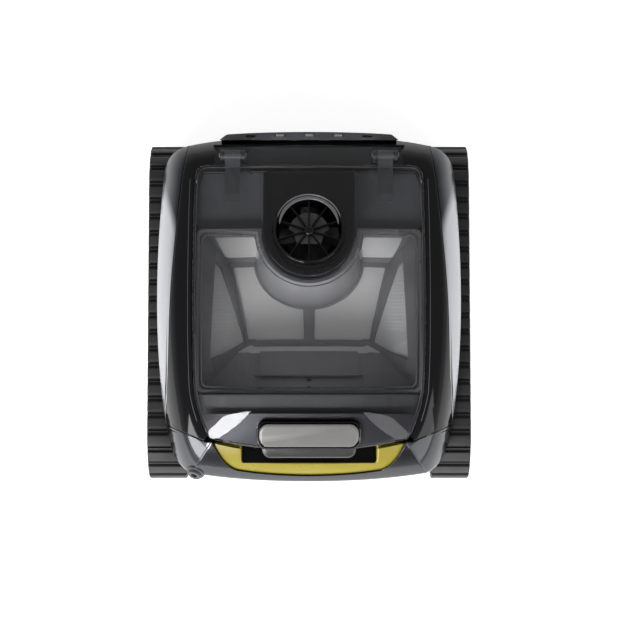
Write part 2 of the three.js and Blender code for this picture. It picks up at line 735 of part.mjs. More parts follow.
function driveMotor() {
  const end = chassisHalfWidth - chassisWall - seat;
  const start = end - driveMotorLength;
  const can = barAcross(driveMotorRadius, start, end - 5, driveY, axleZ, 16);
  const gearbox = box(end - 16, end, driveY - 22, driveY + 22, axleZ - 20, axleZ + 20);
  const foot = box(start + 6, end - 6, driveY - 14, driveY + 14, chassisBottomZ + chassisWall + seat, axleZ);
  const shaft = barAcross(pinionShaftRadius, end - 2, wheelInnerX + gearWidth - 0.5, driveY, axleZ);
  return join(can, gearbox, foot, shaft);
}

// The moulded wall between the two wheels, inside the belt.
function sidePlate() {
  const halfHeight = beltInnerRadius - hornHeight - 2;
  const top = axleZ + halfHeight;
  const bottom = axleZ - halfHeight;
  const side = shapeOf([[frontAxleY, bottom], [rearAxleY, bottom], [rearAxleY, top], [frontAxleY, top]]);
  const outer = trackOuterX - 6;
  const block = across(side, chassisHalfWidth + seat, outer);
  const clear = wheelRadius + 3;
  const wheels = [frontAxleY, rearAxleY].map((y) => barAcross(clear, 0, far, y, axleZ, 28));
  const fromY = frontAxleY + clear + 6;
  const toY = rearAxleY - clear - 6;
  const hollow = across(shapeOf([
    [fromY, bottom + 7], [toY, bottom + 7], [toY, top - 7], [fromY, top - 7],
  ]), chassisHalfWidth + 12, outer + 1);
  const ribs = [0.25, 0.5, 0.75].map((share) => {
    const y = fromY + (toY - fromY) * share;
    return box(chassisHalfWidth + 11, outer - 3, y - 2, y + 2, bottom + 6, top - 6);
  });
  return join(cut(block, ...wheels, hollow), ...ribs);
}

// ---- Brush --------------------------------------------------------------------------------------

// Half of the roller brush: fins wound slowly round a core that turns on the shaft.
function brush() {
  const steps = 5;
  const twist = THREE.MathUtils.degToRad(50);
  const rootHalf = 1.6;
  const tipHalf = 1;
  const flat = [];
  for (let i = 0; i < brushFins; i += 1) {
    const angle = (i * 2 * Math.PI) / brushFins;
    const [along, aside] = [new THREE.Vector2(Math.cos(angle), Math.sin(angle)),
      new THREE.Vector2(-Math.sin(angle), Math.cos(angle))];
    for (const [radius, side] of [
      [brushCoreRadius, -rootHalf], [brushRadius, -tipHalf],
      [brushRadius, tipHalf], [brushCoreRadius, rootHalf],
    ]) {
      flat.push(along.clone().multiplyScalar(radius).addScaledVector(aside, side));
    }
  }
  const centre = new THREE.Vector2();
  const sections = Array.from({ length: steps + 1 }, (_, s) => flat.map((p) => {
    const turnedPoint = p.clone().rotateAround(centre, (twist * s) / steps);
    return new THREE.Vector3(turnedPoint.x, turnedPoint.y, (brushLength * s) / steps);
  }));
  const bore = post(brushShaftRadius + seat, brushShaftRadius + seat, -1, brushLength + 1, 0, 0, 12);
  return cut(loft(sections, flat), bore);
}

function brushShaft() {
  const end = chassisHalfWidth + 1;
  return barAcross(brushShaftRadius, -end, end, brushY, brushZ);
}

// The foot of the brush bearing, and with a gap its socket in the roof of the brush bay.
function bearingSocket(gap) {
  const halfWidth = bearingHalfWidth + gap;
  const topZ = brushZ + brushBayRadius + 1.5 + gap;
  return box(-halfWidth, halfWidth, brushY - 7 - gap, brushY + 7 + gap, brushZ, topZ);
}

// The bearing in the middle of the brush shaft, hanging from the chassis.
function brushBearing() {
  const ring = barAcross(brushCoreRadius, -bearingHalfWidth, bearingHalfWidth, brushY, brushZ);
  return cut(join(ring, bearingSocket(0)), barAcross(brushShaftRadius + seat, -far, far, brushY, brushZ));
}

// ---- Pump ---------------------------------------------------------------------------------------

function motorHousing() {
  const ribs = Array.from({ length: 8 }, (_, i) => {
    const rib = new THREE.BoxGeometry(3, 5, motorTopZ - motorBottomZ - 26);
    rib.translate(0, motorRadius + 1, (motorTopZ + motorBottomZ) / 2 - 4);
    return solid(rib.rotateZ((i * Math.PI) / 4).translate(0, pumpY, 0));
  });
  const can = turned([
    [0, motorBottomZ], [motorRadius + 8, motorBottomZ], [motorRadius + 8, motorBottomZ + 5],
    [motorRadius, motorBottomZ + 6], [motorRadius, motorTopZ - 16], [30, motorTopZ - 8],
    [27, motorTopZ - 4], [8, motorTopZ], [0, motorTopZ],
  ], 16);
  const placed = solid(geometryOf(can).translate(0, pumpY, 0));
  const foot = chassisBottomZ + chassisWall + seat;
  const stand = post(motorRadius - 4, motorRadius - 4, foot, motorBottomZ + 1, 0, pumpY, 16);
  const shaftHole = post(pumpShaftRadius + seat, pumpShaftRadius + seat, motorTopZ - 14, far, 0, pumpY, 10);
  return cut(join(placed, stand, ...ribs), shaftHole);
}

// Twisted blades round a hub, about the origin.
function propeller() {
  const hubRadius = 11;
  const hubHeight = 16;
  const thick = 1.5;
  const blades = Array.from({ length: bladeCount }, (_, i) => {
    const stations = [0, 0.33, 0.67, 1].map((share) => {
      const radius = hubRadius - 3 + (propellerRadius - hubRadius + 3) * share;
      const pitch = THREE.MathUtils.degToRad(58 - 32 * share);
      const chord = 17 + 8 * Math.sin(Math.PI * share * 0.8);
      const flat = [[-0.5, 0], [0, -0.5], [0.5, 0], [0, 0.5]];
      return flat.map(([a, b]) => {
        const u = a * chord;
        const v = b * thick * 2;
        const y = u * Math.cos(pitch) - v * Math.sin(pitch);
        const z = u * Math.sin(pitch) + v * Math.cos(pitch);
        return new THREE.Vector3(radius, y, z);
      });
    });
    const flat = stations[0].map((p) => new THREE.Vector2(p.y, p.z));
    const blade = geometryOf(loft(stations, flat));
    return solid(blade.rotateZ((i * 2 * Math.PI) / bladeCount));
  });
  const tip = post(propellerRadius, propellerRadius, -20, 20, 0, 0, 20);
  const hub = turned([
    [0, -hubHeight / 2], [hubRadius, -hubHeight / 2], [hubRadius, hubHeight / 2 - 4],
    [hubRadius - 4, hubHeight / 2], [0, hubHeight / 2 + 2],
  ], 12);
  const bore = post(pumpShaftRadius + seat, pumpShaftRadius + seat, -far, hubHeight / 2 - 5, 0, 0, 10);
  return cut(join(hub, ...blades).intersect(tip), bore);
}

function propellerShaft() {
  const topZ = 8 - 5 - seat;
  return post(pumpShaftRadius, pumpShaftRadius, motorTopZ - 13 - propellerZ, topZ, 0, 0, 10);
}

// Plan of the duct tower: round at the front, straight sides to the rear.
function ductPlan(radius, rearY) {
  const plan = new THREE.Shape();
  plan.absarc(0, pumpY, radius, Math.PI, Math.PI * 2);
  plan.lineTo(radius, rearY);
  plan.lineTo(-radius, rearY);
  return plan;
}

const ductBottomZ = motorTopZ + 3;
const ductRearY = wellRearY - 6;

function outletDuct() {
  const topGap = 4;
  const outline = pointsAlong(ductPlan(ductRadius, ductRearY), 26);
  const middle = new THREE.Vector2(0, pumpY + 8);
  const tower = slab(outline, middle, lidUnder(wall + topGap), () => ductBottomZ, [0.85, 1], [1]);
  const flange = upright(ductPlan(ductRadius + 3.5, ductRearY), coverTopZ + seat, coverTopZ + 3, 7);
  const throat = propellerRadius + propellerGap;
  const floorZ = propellerZ + 14;
  const inner = ductRadius - ductWall;
  const bore = post(throat, throat, 0, far, 0, pumpY, 20);
  const bowl = upright(ductPlan(inner, ductRearY - ductWall), floorZ + 3, far, 7);
  const under = cut(upright(ductPlan(inner, ductRearY - ductWall), ductBottomZ - 1, floorZ - 3, 7),
    post(throat + ductWall, throat + ductWall, 0, far, 0, pumpY, 20));
  return cut(join(tower, flange), bore, bowl, under);
}

// The guard over the outlet, about its own middle: ring, skirt, spokes and hub.
function outletGuard() {
  const skirt = 13;
  const ring = turned([
    [guardRadius - 3, -skirt], [guardRadius, -skirt], [guardRadius, 1.8], [guardRadius - 1, 2.8],
    [guardRadius - 2.6, 2.8], [guardRadius - 3.6, 1.4],
  ], 20);
  const hub = turned([[0, -5], [6, -5], [6, -0.5], [3, 1.5], [0, 1.5]], 10);
  const spokes = Array.from({ length: guardSpokes }, (_, i) => {
    const spoke = new THREE.BoxGeometry(1.8, guardRadius - 6, 5);
    return solid(spoke.translate(0, (guardRadius + 2) / 2, -2.7).rotateZ((i * 2 * Math.PI) / guardSpokes));
  });
  return join(ring, hub, ...spokes);
}

// The cover over the motor bay, with a bulkhead down each side of the pump.
function pumpCover() {
  const edge = wellHalfWidth - 0.7;
  const frontY = basketRearY + 1.5;
  const rearY = wellRearY - 0.6;
  const thickness = 4;
  const plate = upright(roundedRectangle(-edge, edge, frontY, rearY, 8), coverTopZ - thickness, coverTopZ, 2);
  const floorZ = chassisBottomZ + chassisWall + seat;
  const bulkheads = [-1, 1].map((way) => {
    const [from, to] = span(way, ductRadius + 8, edge - 8);
    return cut(box(from, to, frontY, frontY + wall, floorZ, coverTopZ - 1),
      box(from + 8, to - 8, frontY - 1, frontY + wall + 1, floorZ + 10, floorZ + 60));
  });
  const opening = upright(ductPlan(ductRadius + 0.6, ductRearY + 0.6), 0, far, 7);
  return cut(join(plate, ...bulkheads), opening);
}

// ---- Filter basket ------------------------------------------------------------------------------

const basketBaseZ = basketFloorZ - basketWall;

// The basket's outline at a height: its walls lean out from a small floor to a wide rim.
function basketOutline(z, grow) {
  const share = (z - basketBaseZ) / (basketTopZ - basketBaseZ);
  const between = (low, high) => low + (high - low) * share;
  const rearY = between(basketFloorRearY, basketRearY);
  const frontY = between(basketFloorFrontY, basketFrontY);
  const rearHalf = between(basketFloorRearHalf, basketHalfWidth);
  const frontHalf = between(basketFloorFrontHalf, basketHalfWidth);
  const chamfer = basketCorner * 0.3;
  const right = [
    [frontHalf - basketCorner, frontY], [frontHalf - chamfer, frontY + chamfer],
    [frontHalf, frontY + basketCorner], [rearHalf, rearY - basketCorner],
    [rearHalf - chamfer, rearY - chamfer], [rearHalf - basketCorner, rearY],
  ].map(([x, y]) => new THREE.Vector2(x, y));
  const left = right.map((p) => new THREE.Vector2(-p.x, p.y)).reverse();
  return inset([...right, ...left], -grow);
}

// A solid of the basket's form between two heights, grown by a distance all round, with the notch
// that goes round the pump.
function basketForm(fromZ, toZ, grow) {
  const spare = 10;
  const heights = [basketBaseZ - spare, basketTopZ + spare];
  const sections = heights.map((z) => basketOutline(z, grow).map((p) => new THREE.Vector3(p.x, p.y, z)));
  const whole = loft(sections, basketOutline(heights[0], grow));
  const notch = post(notchRadius - grow, notchRadius - grow, 0, far, 0, pumpY);
  return cut(whole.intersect(box(-far, far, -far, far, fromZ, toZ)), notch);
}

// Cutters for the mesh windows in the sides, the rear horns, the front and the floor.
function basketWindows() {
  const lowZ = basketFloorZ + 9;
  const highZ = basketTopZ - 12;
  const side = shapeOf([
    [basketFloorFrontY + 12, lowZ], [basketFloorRearY - 12, lowZ],
    [basketRearY - 19, highZ], [basketFrontY + 21, highZ],
  ]);
  const sides = [across(side, notchRadius, far), across(side, -far, -notchRadius)];
  const rearWindows = [-1, 1].map((way) => {
    const [from, to] = span(way, notchRadius + 10, basketHalfWidth - 24);
    return box(from, to, basketFloorRearY - 13, far, lowZ + 4, highZ - 2);
  });
  const frontWindows = [-1, 1].map((way) => {
    const [from, to] = span(way, intakeHalfWidth + 10, basketHalfWidth - 28);
    return box(from, to, -far, basketFloorFrontY - 22, basketFloorZ + 31, highZ);
  });
  const rim = 7;
  const frontHalf = basketFloorFrontHalf - rim;
  const rearHalf = basketFloorRearHalf - rim;
  const floorPlan = shapeOf([
    [-frontHalf, basketFloorFrontY + rim], [frontHalf, basketFloorFrontY + rim],
    [rearHalf, basketFloorRearY - rim], [-rearHalf, basketFloorRearY - rim],
  ]);
  const roundPump = notchRadius + 12;
  const floor = cut(upright(floorPlan, basketBaseZ - 1, basketFloorZ + 0.5),
    post(roundPump, roundPump, 0, far, 0, pumpY, 40), box(-5.5, 5.5, -far, far, 0, far));
  return [...sides, ...rearWindows, ...frontWindows, floor];
}

const inletWindow = upright(roundedRectangle(-intakeHalfWidth + 1, intakeHalfWidth - 1,
  intakeFrontY + 1, intakeRearY - 1, 3), basketFloorZ + 2, basketTopZ - 6);

// The front wall's lean in the side view, as unit vectors down the wall and out of it to the inside.
const frontRun = basketFloorFrontY - basketFrontY;
const frontFall = basketTopZ - basketBaseZ;
const frontLean = Math.hypot(frontRun, frontFall);
const downWall = new THREE.Vector2(frontRun, -frontFall).divideScalar(frontLean);
const offWall = new THREE.Vector2(frontFall, frontRun).divideScalar(frontLean);

// The height of a plane in front of the front wall, so far from its outer face.
function frontWallZ(y, gap) {
  return basketTopZ - ((y - basketFrontY) * frontFall + gap * frontLean) / frontRun;
}

// A point so far inside the front wall's outer face, square to where the wall is at y.
function frontWallPoint(y, off) {
  return new THREE.Vector2(y, frontWallZ(y, 0)).addScaledVector(offWall, off);
}

const flapPinRadius = 2.2;
const flapHinge = frontWallPoint(intakeFrontY - 5, basketWall + 0.9 + flapPinRadius);

function filterBasket() {
  const tub = cut(basketForm(basketBaseZ, basketTopZ, 0),
    basketForm(basketFloorZ, basketTopZ + 1, -basketWall));
  const ears = [-1, 1].map((way) => {
    const [from, to] = span(way, intakeHalfWidth + 3, intakeHalfWidth + 7);
    return across(shapeOf([
      [flapHinge.x - 4, flapHinge.y - 3], [flapHinge.x + 4, flapHinge.y - 8],
      [flapHinge.x + 5, flapHinge.y + 3], [flapHinge.x, flapHinge.y + 5], [flapHinge.x - 3, flapHinge.y + 3],
    ]), from, to);
  });
  const pinHole = barAcross(flapPinRadius + seat, -far, far, flapHinge.x, flapHinge.y, 16);
  const earsCut = ears.map((ear) => cut(ear, pinHole));
  return cut(join(cut(tub, ...basketWindows()), ...earsCut), inletWindow);
}

// The fine mesh round the outside of the basket's frame.
function filterMesh() {
  const inner = seat;
  const outer = seat + meshThickness;
  const topZ = basketTopZ - 8;
  const lining = cut(basketForm(basketBaseZ - outer, topZ, outer),
    basketForm(basketBaseZ - inner, topZ + 1, inner));
  return cut(lining, inletWindow);
}

// The flap that lets dirt in and keeps it in; it hangs from a pin above the inlet.
function inletFlap() {
  const start = frontWallPoint(intakeFrontY - 5, basketWall + 0.5);
  const reach = (intakeRearY - intakeFrontY + 8) / downWall.x;
  const end = start.clone().addScaledVector(downWall, reach);
  const plate = across(shapeOf([
    [start.x, start.y], [end.x, end.y],
    [end.x + offWall.x * flapThickness, end.y + offWall.y * flapThickness],
    [start.x + offWall.x * flapThickness, start.y + offWall.y * flapThickness],
  ]), -intakeHalfWidth - 1, intakeHalfWidth + 1);
  const pinHalf = intakeHalfWidth + 7;
  const pin = barAcross(flapPinRadius, -pinHalf, pinHalf, flapHinge.x, flapHinge.y, 16);
  return join(plate, pin);
}

// The chute from the mouth in the floor to the basket's inlet.
function intakeChute() {
  const low = chassisBottomZ + chassisWall + seat;
  const rimAt = (y) => frontWallZ(y, meshThickness + 2 * seat);
  const chuteWall = wall;
  const fromY = intakeFrontY - chuteWall;
  const toY = intakeRearY + chuteWall;
  const side = shapeOf([[fromY, low], [toY, low], [toY, rimAt(toY)], [fromY, rimAt(fromY)]]);
  const block = across(side, -intakeHalfWidth - chuteWall, intakeHalfWidth + chuteWall);
  return cut(block, intakeMouth);
}

function basketPosts() {
  return [-1, 1].map((way) => {
    const [from, to] = span(way, 50, 54);
    return box(from, to, basketFloorFrontY + 6, basketFloorFrontY + 46, chassisBottomZ + 1,
      basketBaseZ - meshThickness - 2 * seat);
  });
}

// ---- Lid ----------------------------------------------------------------------------------------

const guardCentreZ = lidTop(0, pumpY) - 1.5;

function guardHole() {
  const hole = new THREE.CylinderGeometry(guardRadius + seat, guardRadius + seat, 80, 20);
  return solid(hole.rotateX(Math.PI / 2).rotateX(-guardTilt).translate(0, pumpY, guardCentreZ));
}

// The lid's outer form, raised by a gap, and the space under its skin.
const lidBlock = (gap) => slab(inset(lidOutline, -gap), lidMiddle, (x, y) => lidTop(x, y) + gap, () => 0,
  lidShares, [1]);
const lidHollow = (gap) => slab(inset(lidOutline, wall + gap), lidMiddle, lidUnder(wall + gap), () => 0,
  lidShares, [1]);

function lidWindow() {
  const block = slab(lidOutline, lidMiddle, lidTop, lidUnder(lidSkirt), lidShares, rimShares);
  const notchHalf = knuckleWidth / 2 + 1;
  const notches = [-hingeX, hingeX].map((x) => box(x - notchHalf, x + notchHalf, lidRearY - 8, lidRearY + 5,
    0, lidTop(hingeX, lidRearY - 6) - wall));
  return cut(block, lidHollow(0), guardHole(), ...notches);
}

function lidGasket() {
  const depth = lidSkirt + seat;
  const under = lidUnder(depth + gasketThickness - seat);
  const ring = slab(inset(lidOutline, 0.2), lidMiddle, lidUnder(depth), under, rimShares);
  return cut(ring, slab(inset(lidOutline, gasketWidth), lidMiddle, () => far, () => 0, [1]));
}

// One hinge arm: a foot under the lid's skin and a knuckle round the pin.
function hingeArm(middleX) {
  const half = knuckleWidth / 2;
  const footFrontY = lidRearY - 48;
  const footThickness = 4;
  const webZ = lidTop(middleX, lidRearY - 6) - wall - 8;
  const underSkin = box(middleX - half, middleX + half, footFrontY, lidRearY - 4, webZ, far);
  const foot = cut(lidHollow(seat).intersect(underSkin), lidHollow(seat + footThickness));
  const joinZ = lidTop(middleX, lidRearY - 6) - wall - seat - 2;
  const bar = across(shapeOf([
    [lidRearY - 12, joinZ - 4], [hingeY - 4, hingeZ - 5],
    [hingeY + 2, hingeZ + 5], [lidRearY - 12, joinZ + 0.5],
  ]), middleX - half, middleX + half);
  const knuckle = barAcross(knuckleRadius, middleX - half, middleX + half, hingeY, hingeZ);
  const bore = barAcross(hingePinRadius + hingePinGap, -far, far, hingeY, hingeZ, 10);
  return cut(join(foot, bar, knuckle), bore);
}

// The bracket in the trough: a base and two ears that hold the pin.
function hingeBracket(middleX) {
  const half = knuckleWidth / 2 + seat;
  const outer = half + earWidth;
  const baseZ = troughFloorZ + seat;
  const base = box(middleX - outer, middleX + outer, hingeY - 9, hingeY + 12, baseZ, baseZ + 3);
  const ear = (from, to) => {
    const side = new THREE.Shape();
    side.moveTo(hingeY - 9, baseZ);
    side.lineTo(hingeY + 10, baseZ);
    side.lineTo(hingeY + 6, hingeZ);
    side.absarc(hingeY, hingeZ, 6, 0, Math.PI);
    return across(side, from, to);
  };
  const ears = [ear(middleX - outer, middleX - half), ear(middleX + half, middleX + outer)];
  const bore = barAcross(hingePinRadius + seat, -far, far, hingeY, hingeZ, 10);
  return cut(join(base, ...ears), bore);
}

function hingePin(middleX) {
  const half = knuckleWidth / 2 + seat + earWidth + 1;
  return barAcross(hingePinRadius, middleX - half, middleX + half, hingeY, hingeZ, 10);
}

// ---- Latch --------------------------------------------------------------------------------------

const latchPlane = (x, y) => ridgeHeight + 0.5 * (y - latchY - latchDepth / 2);

function pill(width, fromY, toY) {
  return roundedRectangle(-width / 2, width / 2, fromY, toY, (toY - fromY) / 2 - 0.5);
}

const latchRearY = latchY + latchDepth / 2;
const latchFrontY = latchY - latchDepth / 2;

function latchTray() {
  const frontY = latchFrontY - latchTrayLip;
  const outline = pointsAlong(pill(latchWidth, frontY, latchRearY), 28);
  const middle = new THREE.Vector2(0, (frontY + latchRearY) / 2);
  const chamfer = (x, y, share) => latchPlane(x, y) - 3 * share ** 8;
  const tray = slab(outline, middle, chamfer, () => latchTrayBottomZ, [0.9, 1], [1]);
  return cut(tray, latchRecess(latchTrayWall), lidBlock(seat));
}

function latchRecess(inward) {
  const fromY = latchFrontY + inward;
  const toY = latchRearY - inward;
  const outline = pointsAlong(pill(latchWidth - 2 * inward, fromY, toY), 28);
  return slab(outline, new THREE.Vector2(0, latchY), () => far, (x, y) => latchPlane(x, y) - 5.5, [1]);
}

function latchButton() {
  const inward = latchTrayWall + 0.4;
  const outline = pointsAlong(pill(latchWidth - 2 * inward, latchFrontY + inward, latchRearY - inward), 28);
  const crown = (x, y, share) => latchPlane(x, y) + 2.6 - 1.6 * share ** 6;
  const base = (x, y) => latchPlane(x, y) - 5.5 + latchTravel + 0.4;
  return slab(outline, new THREE.Vector2(0, latchY), crown, base, [0.9, 1], [1]);
}

// ---- Cable gland --------------------------------------------------------------------------------

const glandDirection = new THREE.Vector3(-0.72, -0.69, 0).normalize();
const glandSeat = new THREE.Vector3(...fit(-139, -194), hullBottomZ + 15);
const glandRadius = 9;

// A rod between two points.
function rod(radius, from, to, segments = 16) {
  const along = to.clone().sub(from);
  const geometry = new THREE.CylinderGeometry(radius, radius, along.length(), segments);
  const upwards = new THREE.Vector3(0, 1, 0);
  const turn = new THREE.Quaternion().setFromUnitVectors(upwards, along.clone().normalize());
  const middle = from.clone().add(to).multiplyScalar(0.5);
  return solid(geometry.applyQuaternion(turn).translate(middle.x, middle.y, middle.z));
}

// A point so far out of the gland's seat, along its cable.
const glandPoint = (out) => glandSeat.clone().addScaledVector(glandDirection, out);

const glandSocket = () => rod(glandRadius + seat, glandSeat, glandPoint(30));

function cableGland() {
  const base = rod(glandRadius, glandPoint(seat), glandPoint(5));
  const collar = rod(glandRadius - 2.5, glandPoint(4), glandPoint(8));
  const bore = rod(3.2, glandPoint(1.5), glandPoint(10), 10);
  return cut(join(base, collar), bore);
}

// ---- Assembly -----------------------------------------------------------------------------------

const group = new THREE.Group();

function add(name, geometry, finish, parent = group) {
  const mesh = new THREE.Mesh(geometry, new THREE.MeshStandardMaterial(finishes[finish]));
  mesh.name = name;
  parent.add(mesh);
  return mesh;
}

const addSolid = (name, body, finish) => add(name, geometryOf(body), finish);

function mirrored(geometry) {
  return outward(geometry.clone().scale(-1, 1, 1));
}

// Adds a right-hand piece and its mirror image.
function addPair(name, body, finish) {
  const right = geometryOf(body);
  add(`${name}_right`, right, finish);
  add(`${name}_left`, mirrored(right), finish);
}

// Turns a piece made upright so that it lies along +X in the shared frame.
const lyingDown = new THREE.Matrix4().makeBasis(
  new THREE.Vector3(0, 1, 0), new THREE.Vector3(0, 0, 1), new THREE.Vector3(1, 0, 0));

addSolid('chassis_shell', join(chassisShell(), ...basketPosts()), 'matt');
addSolid('bottom_plate', bottomPlate(), 'darkGrey');
addSolid('deck_shell', deckShell(), 'gloss');
const covers = sideCovers();
addSolid('side_cover_right', covers.right, 'silver');
addSolid('side_cover_left', covers.left, 'silver');
addSolid('front_fascia', cut(frontFascia(), glandSocket()), 'gunmetal');
addSolid('carry_handle', carryHandle(), 'yellow');
addSolid('rear_grille', rearGrille(), 'matt');
addSolid('cable_gland', cableGland(), 'darkGrey');

addSolid('lid_window', lidWindow(), 'smoked');
addSolid('lid_gasket', lidGasket(), 'rubber');
addPair('hinge_arm', hingeArm(hingeX), 'gloss');
addPair('hinge_bracket', hingeBracket(hingeX), 'matt');
addPair('hinge_pin', hingePin(hingeX), 'steel');
addSolid('latch_tray', latchTray(), 'darkGrey');
addSolid('latch_button', latchButton(), 'lightGrey');
const guard = add('outlet_guard', geometryOf(outletGuard()), 'gloss');
guard.position.set(0, pumpY, guardCentreZ);
guard.rotation.x = -guardTilt;

addSolid('filter_basket', filterBasket(), 'midGrey');
addSolid('filter_mesh', filterMesh(), 'mesh');
addSolid('inlet_flap', inletFlap(), 'darkGrey');
addSolid('intake_chute', intakeChute(), 'matt');

addSolid('pump_cover', pumpCover(), 'darkGrey');
addSolid('outlet_duct', outletDuct(), 'gloss');
addSolid('motor_housing', motorHousing(), 'darkGrey');
const rotor = add('propeller', geometryOf(propeller()), 'matt');
rotor.position.set(0, pumpY, propellerZ);
const rotorShaft = add('propeller_shaft', geometryOf(propellerShaft()), 'steel');
rotorShaft.position.set(0, pumpY, propellerZ);

addPair('track', belt(trackOuterX - beltWidth), 'rubber');
addPair('side_plate', sidePlate(), 'matt');
addPair('drive_motor', driveMotor(), 'darkGrey');
addPair('brush', solid(geometryOf(brush()).applyMatrix4(lyingDown).translate(4.5, brushY, brushZ)), 'yellow');
addSolid('brush_shaft', brushShaft(), 'steel');
addSolid('brush_bearing', brushBearing(), 'matt');

// One wheel with its stub axle, cap and, at the rear, the pinion, on both sides.
for (const [end, y, geared] of [['front', frontAxleY, false], ['rear', rearAxleY, true]]) {
  const atX = (body, x) => solid(geometryOf(body).applyMatrix4(lyingDown).translate(x, y, axleZ));
  addPair(`${end}_wheel`, atX(wheel(geared), wheelMiddleX), 'darkGrey');
  addPair(`${end}_axle`, atX(axle(), chassisHalfWidth), 'steel');
  addPair(`${end}_wheel_cap`, atX(wheelCap(), wheelOuterX - capSink), 'midGrey');
}
addPair('drive_pinion', solid(geometryOf(pinion()).applyMatrix4(lyingDown)
  .translate(wheelInnerX, driveY, axleZ)), 'steel');

export default group;
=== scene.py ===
# Robotic pool cleaner on two rubber tracks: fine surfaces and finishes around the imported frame.
# Metres, +Z up, -Y is the front, where the carrying handle is. Sizes in the dictionaries are millimetres.
import json
import math

import bmesh
import bpy
import numpy as np
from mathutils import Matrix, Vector
from mathutils.geometry import delaunay_2d_cdt


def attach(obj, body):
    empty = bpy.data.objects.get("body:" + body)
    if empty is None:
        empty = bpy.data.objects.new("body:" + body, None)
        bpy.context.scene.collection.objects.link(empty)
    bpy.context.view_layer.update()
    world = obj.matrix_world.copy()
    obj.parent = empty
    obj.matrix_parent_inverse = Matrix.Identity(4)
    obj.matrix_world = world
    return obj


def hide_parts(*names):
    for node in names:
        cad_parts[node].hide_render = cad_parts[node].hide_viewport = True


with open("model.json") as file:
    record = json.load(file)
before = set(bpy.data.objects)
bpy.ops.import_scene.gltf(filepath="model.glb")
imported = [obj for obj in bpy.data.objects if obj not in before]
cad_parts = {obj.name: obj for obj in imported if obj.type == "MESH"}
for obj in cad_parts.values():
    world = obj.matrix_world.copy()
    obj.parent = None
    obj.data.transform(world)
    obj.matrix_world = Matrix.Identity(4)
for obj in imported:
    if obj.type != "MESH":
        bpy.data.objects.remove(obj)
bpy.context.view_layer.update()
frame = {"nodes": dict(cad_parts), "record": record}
nodes = frame["nodes"]
mm = 0.001
print("frame loaded,", len(nodes), "nodes")


# Adds a shader node: settings are its properties, inputs are values or sockets to link.
def addNode(tree, kind, inputs=None, **settings):
    node = tree.nodes.new("ShaderNode" + kind)
    for key, value in settings.items():
        setattr(node, key, value)
    for key, value in (inputs or {}).items():
        if isinstance(value, bpy.types.NodeSocket):
            tree.links.new(value, node.inputs[key])
        else:
            node.inputs[key].default_value = value
    return node


# sRGB hex to linear light: the sRGB curve undone for each channel.
def linear(hexColour):
    channels = np.array([int(hexColour[i:i + 2], 16) / 255 for i in (0, 2, 4)])
    return (*np.where(channels <= 0.04045, channels / 12.92, ((channels + 0.055) / 1.055) ** 2.4), 1.0)


# A new material with its tree and its shader, whose sockets get the values given.
def startMaterial(name, values=None):
    material = bpy.data.materials.new(name)
    material.use_nodes = True
    tree = material.node_tree
    shader = tree.nodes["Principled BSDF"]
    for key, value in (values or {}).items():
        shader.inputs[key].default_value = value
    return material, tree, shader


# Puts a new object with this data in the scene.
def placed(name, data):
    piece = bpy.data.objects.new(name, data)
    bpy.context.scene.collection.objects.link(piece)
    return piece


# Camera, floor and light
camera = {
    "elevation": 84.0,      # degrees above the floor, looking towards the rear
    "distance": 2.6,
    "width": 0.7495,        # metres taken in at the target
    "target": (0.0006, -0.0010, 0.120),
    "sensor": 36.0,
}
lights = {                  # position, size, watts
    "keyBox": ((-0.7, -1.9, 1.75), (0.4, 0.5), 26),
    "fillBox": ((0.62, -1.9, 1.75), (0.4, 0.4), 2.6),
    "leftCornerBox": ((-1.2, -1.5, 0.9), (1.2, 0.8), 31),
    "rightCornerBox": ((1.35, -1.4, 0.85), (1.4, 1.2), 14),
}
studio = {
    "aim": (0, 0, 0.1),
    "horizon": 0.8,         # light from the horizon and from overhead
    "zenith": 0.34,
    "fade": (0.02, 0.4),    # where the one turns into the other
    "floorHalf": 8.0,
    "floorColour": "fbfbfb",
    "floorGlow": 0.72,      # the table is lit from below
}


def makeCamera():
    data = bpy.data.cameras.new("camera")
    data.sensor_width = camera["sensor"]
    data.lens = camera["sensor"] * camera["distance"] / camera["width"]
    data.clip_end = 20
    piece = placed("camera", data)
    tilt = math.radians(camera["elevation"])
    x, y, z = camera["target"]
    piece.location = (x, y - camera["distance"] * math.cos(tilt), z + camera["distance"] * math.sin(tilt))
    piece.rotation_euler = (math.pi / 2 - tilt, 0, 0)
    bpy.context.scene.camera = piece


def makeLights():
    for name, (place, size, watts) in lights.items():
        data = bpy.data.lights.new(name, "AREA")
        data.shape = "RECTANGLE"
        data.size, data.size_y = size
        data.energy = watts
        piece = placed(name, data)
        piece.location = place
        away = np.array(piece.location) - np.array(studio["aim"])
        piece.rotation_euler = (math.atan2(math.hypot(away[0], away[1]), away[2]), 0, math.atan2(away[0], -away[1]))
        piece.visible_transmission = False      # the lid casts no shadow, so this light is already below it
    world = bpy.data.worlds.new("studio")
    world.use_nodes = True
    bpy.context.scene.world = world
    tree = world.node_tree
    place = addNode(tree, "TexCoord")
    parts = addNode(tree, "SeparateXYZ", {"Vector": place.outputs["Generated"]})
    start, end = studio["fade"]
    height = addNode(tree, "MapRange", {"Value": parts.outputs["Z"], "From Min": start, "From Max": end,
                     "To Min": studio["horizon"], "To Max": studio["zenith"]}, interpolation_type="SMOOTHSTEP")
    tree.links.new(height.outputs["Result"], tree.nodes["Background"].inputs["Strength"])
    tree.nodes["Background"].inputs["Color"].default_value = (1, 1, 1, 1)


